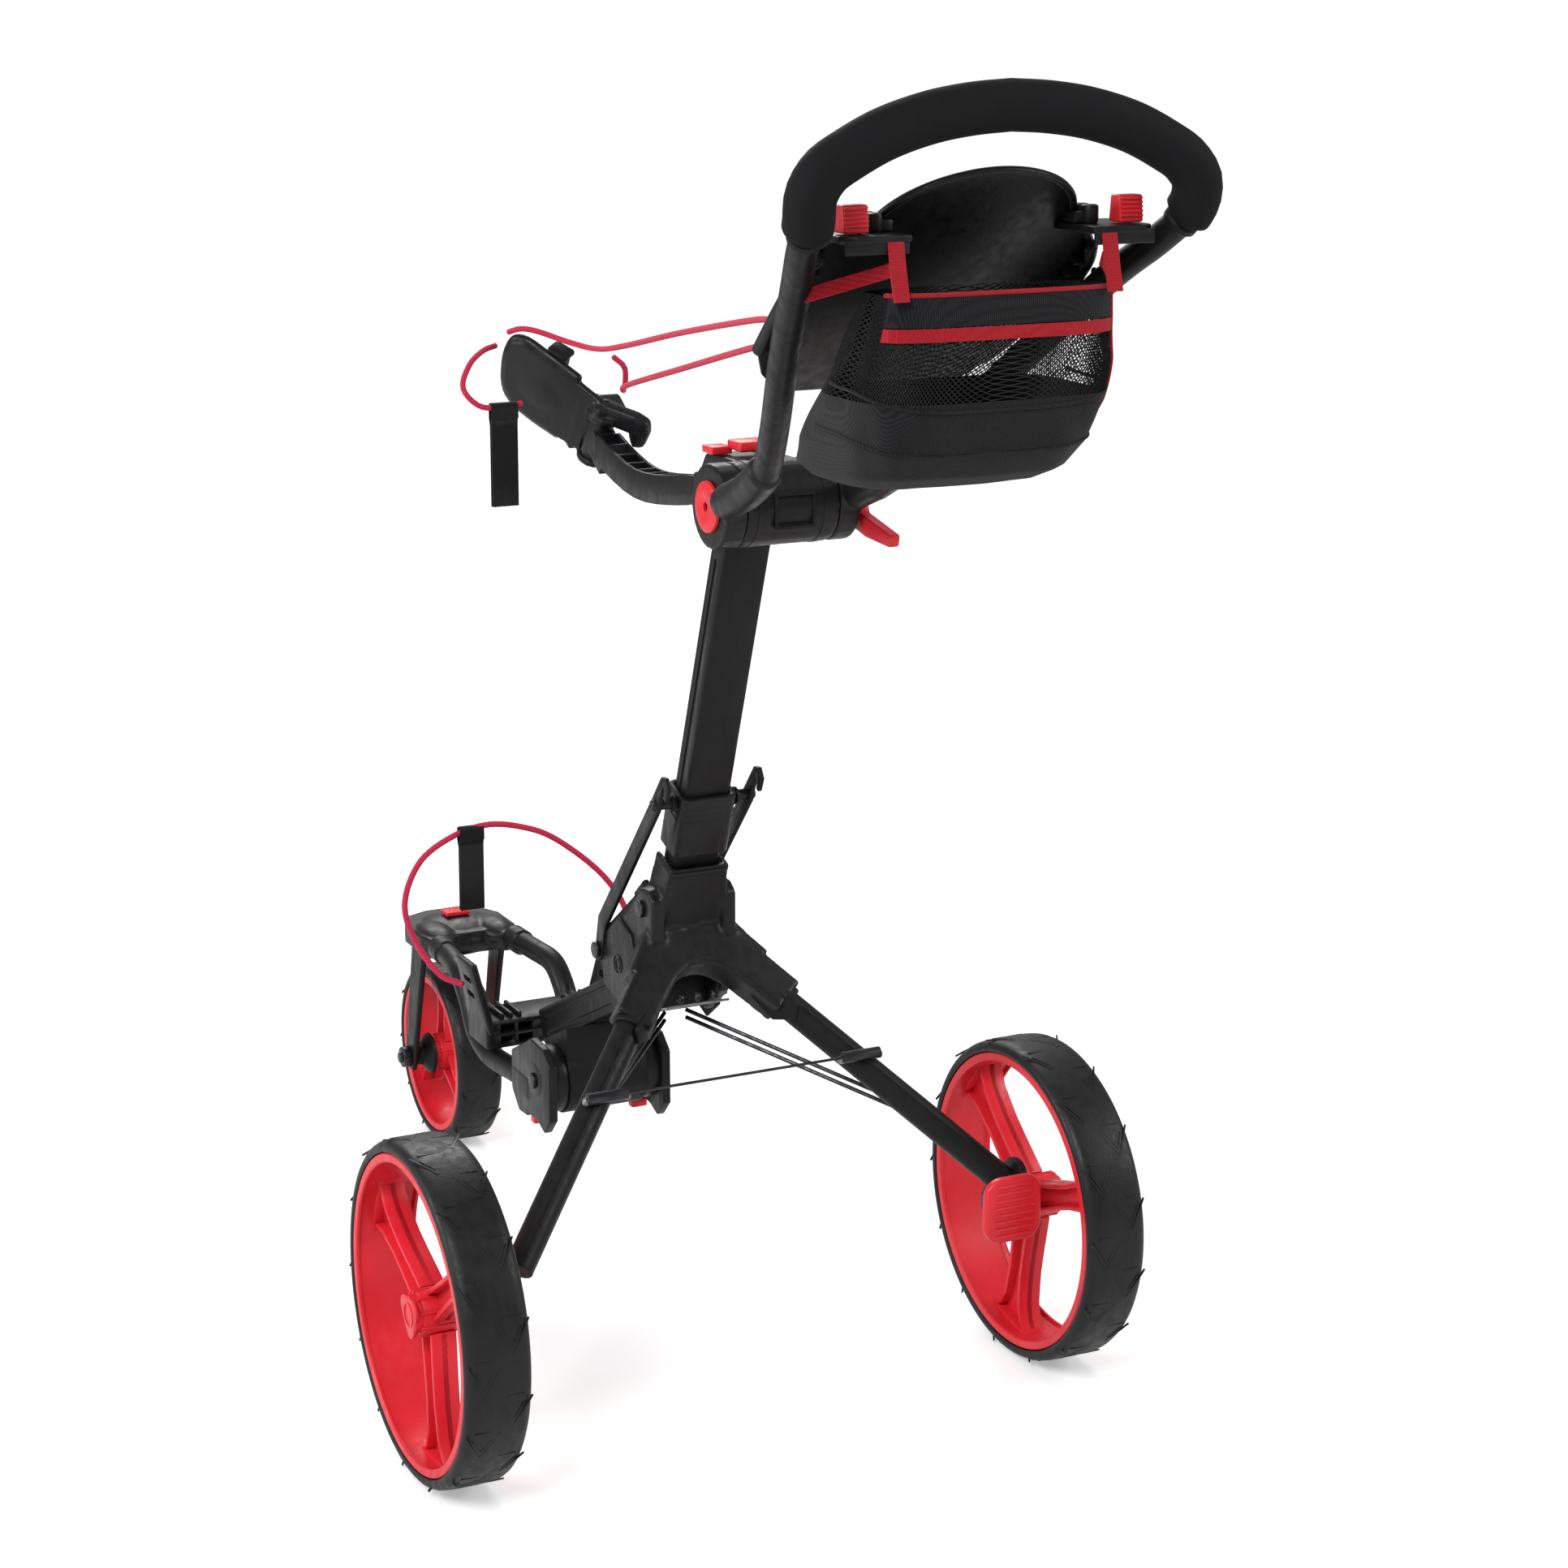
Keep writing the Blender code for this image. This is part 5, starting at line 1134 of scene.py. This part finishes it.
def stage():
    """Pale floor that fades into a white surround, four soft lamps and the camera."""
    deselect()
    bpy.ops.mesh.primitive_circle_add(vertices=96, radius=60, fill_type="NGON", location=(0, 0, -0.0005))
    floor = bpy.context.object
    floor.name = "floor"
    finish, nodes, links, shader = blank("pale_floor")
    place = nodes.new("ShaderNodeTexCoord").outputs["Object"]
    links.new(tint(nodes, links, noise(nodes, links, place, 3, 3), (0.80, 0.80, 0.80), (0.82, 0.82, 0.82)),
              shader.inputs["Base Color"])
    shader.inputs["Roughness"].default_value = 0.7
    shader.inputs["Specular IOR Level"].default_value = 0.1
    shader.inputs["Emission Color"].default_value = (1, 1, 1, 1)
    reach = nodes.new("ShaderNodeVectorMath")
    reach.operation = "LENGTH"
    links.new(place, reach.inputs[0])
    glow = nodes.new("ShaderNodeMath")
    glow.operation = "MULTIPLY"
    links.new(spread(nodes, links, reach.outputs["Value"], 0.36, 0.76, 1.0, 2.6), glow.inputs[0])
    links.new(seen_share(nodes, links, 0.0, 1.0), glow.inputs[1])
    links.new(glow.outputs[0], shader.inputs["Emission Strength"])
    floor.data.materials.append(finish)
    world = bpy.data.worlds.new("studio")
    world.use_nodes = True
    sky = world.node_tree.nodes["Background"]
    sky.inputs["Color"].default_value = (1, 1, 1, 1)
    world.node_tree.links.new(seen_share(world.node_tree.nodes, world.node_tree.links, 0.36, 1.0),
                              sky.inputs["Strength"])
    bpy.context.scene.world = world
    lamps = (("key", (-2.6, -2.6, 3.4), 1.6, 130), ("fill", (3.0, -1.8, 2.2), 1.6, 55),
             ("back", (0.8, 3.4, 3.0), 2.0, 80), ("left", (-3.4, 0.8, 1.6), 1.4, 60))
    for name, where, size, power in lamps:
        light = bpy.data.lights.new(name, "AREA")
        light.energy, light.size = power, size
        lamp = bpy.data.objects.new(name, light)
        lamp.location = where
        lamp.rotation_euler = (Vector((0, 0, 0.5)) - Vector(where)).to_track_quat("-Z", "Y").to_euler()
        bpy.context.collection.objects.link(lamp)
    lens = bpy.data.cameras.new("camera")
    lens.lens, lens.sensor_width = 73.66, 36
    lens.clip_start = 0.05
    camera = bpy.data.objects.new("camera", lens)
    camera.location = (-1.0945, -2.309 - AHEAD, 1.220)
    camera.rotation_euler = (math.radians(90 - 14.55), 0, math.radians(-26.04))
    bpy.context.collection.objects.link(camera)
    bpy.context.scene.camera = camera
    bpy.context.scene.view_settings.view_transform = "Standard"


# ---- cords ----
LOW_ROUTE = [(-0.0800, 0.470, 0.257), (-0.0980, 0.485, 0.265), (-0.1140, 0.506, 0.293),
             (-0.1220, 0.514, 0.331),
             (-0.1040, 0.518, 0.370), (-0.0700, 0.517, 0.392), (-0.0350, 0.515, 0.400),
             (0.0000, 0.513, 0.394),
             (0.0330, 0.512, 0.379), (0.0750, 0.508, 0.344), (0.1000, 0.505, 0.310), (0.1060, 0.502, 0.284),
             (0.0960, 0.488, 0.264), (0.0800, 0.472, 0.257)]
HIGH_ROUTE = [(-0.0960, -0.2470, 0.966), (-0.0900, -0.200, 0.961), (-0.0500, 0.014, 0.928),
              (-0.0260, 0.180, 0.899),
              (-0.0150, 0.268, 0.886), (-0.0250, 0.309, 0.8880), (-0.0450, 0.332, 0.8960),
              (-0.0570, 0.343, 0.8980), (-0.0650, 0.3545, 0.8940)]
RETURN_ROUTE = [(-0.0865, -0.2215, 0.944), (-0.0830, -0.185, 0.939), (-0.0450, 0.025, 0.898),
                (-0.0080, 0.220, 0.860),
                (0.0120, 0.276, 0.8475), (0.0180, 0.2860, 0.8530), (0.0130, 0.276, 0.868),
                (0.0010, 0.273, 0.878)]
LOOP_ROUTE = [(-0.0730, 0.363, 0.882), (-0.0900, 0.352, 0.879), (-0.1080, 0.338, 0.869),
              (-0.1190, 0.325, 0.851),
              (-0.1050, 0.322, 0.835), (-0.0830, 0.322, 0.833), (-0.0640, 0.3250, 0.835)]


def pull_tab(name, node, x, y, z, length, radius):
    """Webbing doubled over a cord and stitched to itself: a loop at the top, then a flat tail."""
    width, thick = 0.025, 0.0012
    eye = radius + 0.0004
    path = [(-eye, -0.010), (-eye, 0.0), *circle(0, 0, eye, 8, math.pi, -math.pi)[1:],
            (eye, -0.010), (0.0008, -0.016), (0.0010, -length * 0.5), (0.0022, -length)]
    outer = [(u * (1 + thick / eye) if abs(u) >= eye * 0.5 else u + math.copysign(thick, u),
              v + (thick if v > 0 else 0))
             for u, v in path]
    place = axes((0, 1, 0), (0, 0, 1), (x, y, z))
    strap = slab(name, path + outer[::-1], width, place, 0.0003, 1)
    back = slab(f"{name}_back", [(-eye, -0.004), (-eye - thick, -0.004), (-0.0012 - thick, -0.016),
                                 (-0.0004 - thick, -length), (-0.0004, -length), (-0.0004, -0.016)],
                                 width * 0.98, place, 0.0003, 1)
    stitches = [block(f"{name}_stitch_{i}", (0.0022, 0.0034, 0.0006),
                      at(x - 0.009 + 0.0036 * i, y, z - 0.019), 0.0002, 1) for i in range(6)]
    tab = joined(name, [strap, back, *stitches])
    return ready(tab, WEBBING, BODY_OF[node], [node], angle=40)


def cords():
    """Bag cords with their pull tabs: one loop at the foot, three runs at the top."""
    low = smooth(LOW_ROUTE, 0.006)
    high = smooth(HIGH_ROUTE, 0.006)
    back = smooth(RETURN_ROUTE, 0.006)
    loop = smooth(LOOP_ROUTE, 0.004)
    low_cord = ready(hose("foot_cord", low, LOW_CORD_R, 14), BRAID, "chassis", ["lower_cord"])
    low_tab = pull_tab("foot_cord_tab", "lower_pull_tab", -0.052, 0.516, 0.3965, 0.080, LOW_CORD_R)
    high_cord = ready(hose("bag_cord_upper", high, HIGH_CORD_R, 12), BRAID, "bracket", ["upper_cord"])
    back_cord = ready(hose("bag_cord_lower", back, HIGH_CORD_R, 12), BRAID, "bracket", ["upper_cord_return"])
    loop_cord = ready(hose("bag_cord_loop", loop, HIGH_CORD_R, 12), BRAID, "bracket", ["upper_cord_loop"])
    high_tab = pull_tab("bag_cord_tab", "upper_pull_tab", -0.083, 0.322, 0.8330, 0.088, HIGH_CORD_R)
    for piece in (high_cord, back_cord):
        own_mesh(piece)


stage()
cords()
wheels()
eased_parts()
lower_cover()
joint_core()
legs()
brake()
collar()
goosenecks()
caster()
foot_bracket()
upper_hinge()
bracket_arm()
cradle()
handle()
organiser()
net_bag()
PLAIN = {"black_tube": PAINT, "black_plastic": BLACK, "red_plastic": RED, "dark_steel": STEEL,
         "grip_foam": FOAM, "net_fabric": CLOTH, "rim_red": RED_RIM, "tyre_rubber": RUBBER, "red_cord": BRAID,
         "webbing": WEBBING}
for part in frame["record"]["subparts"]:
    node = frame["nodes"][part["node"]]
    for slot in node.material_slots:
        slot.material = PLAIN[part["material_slot"]]
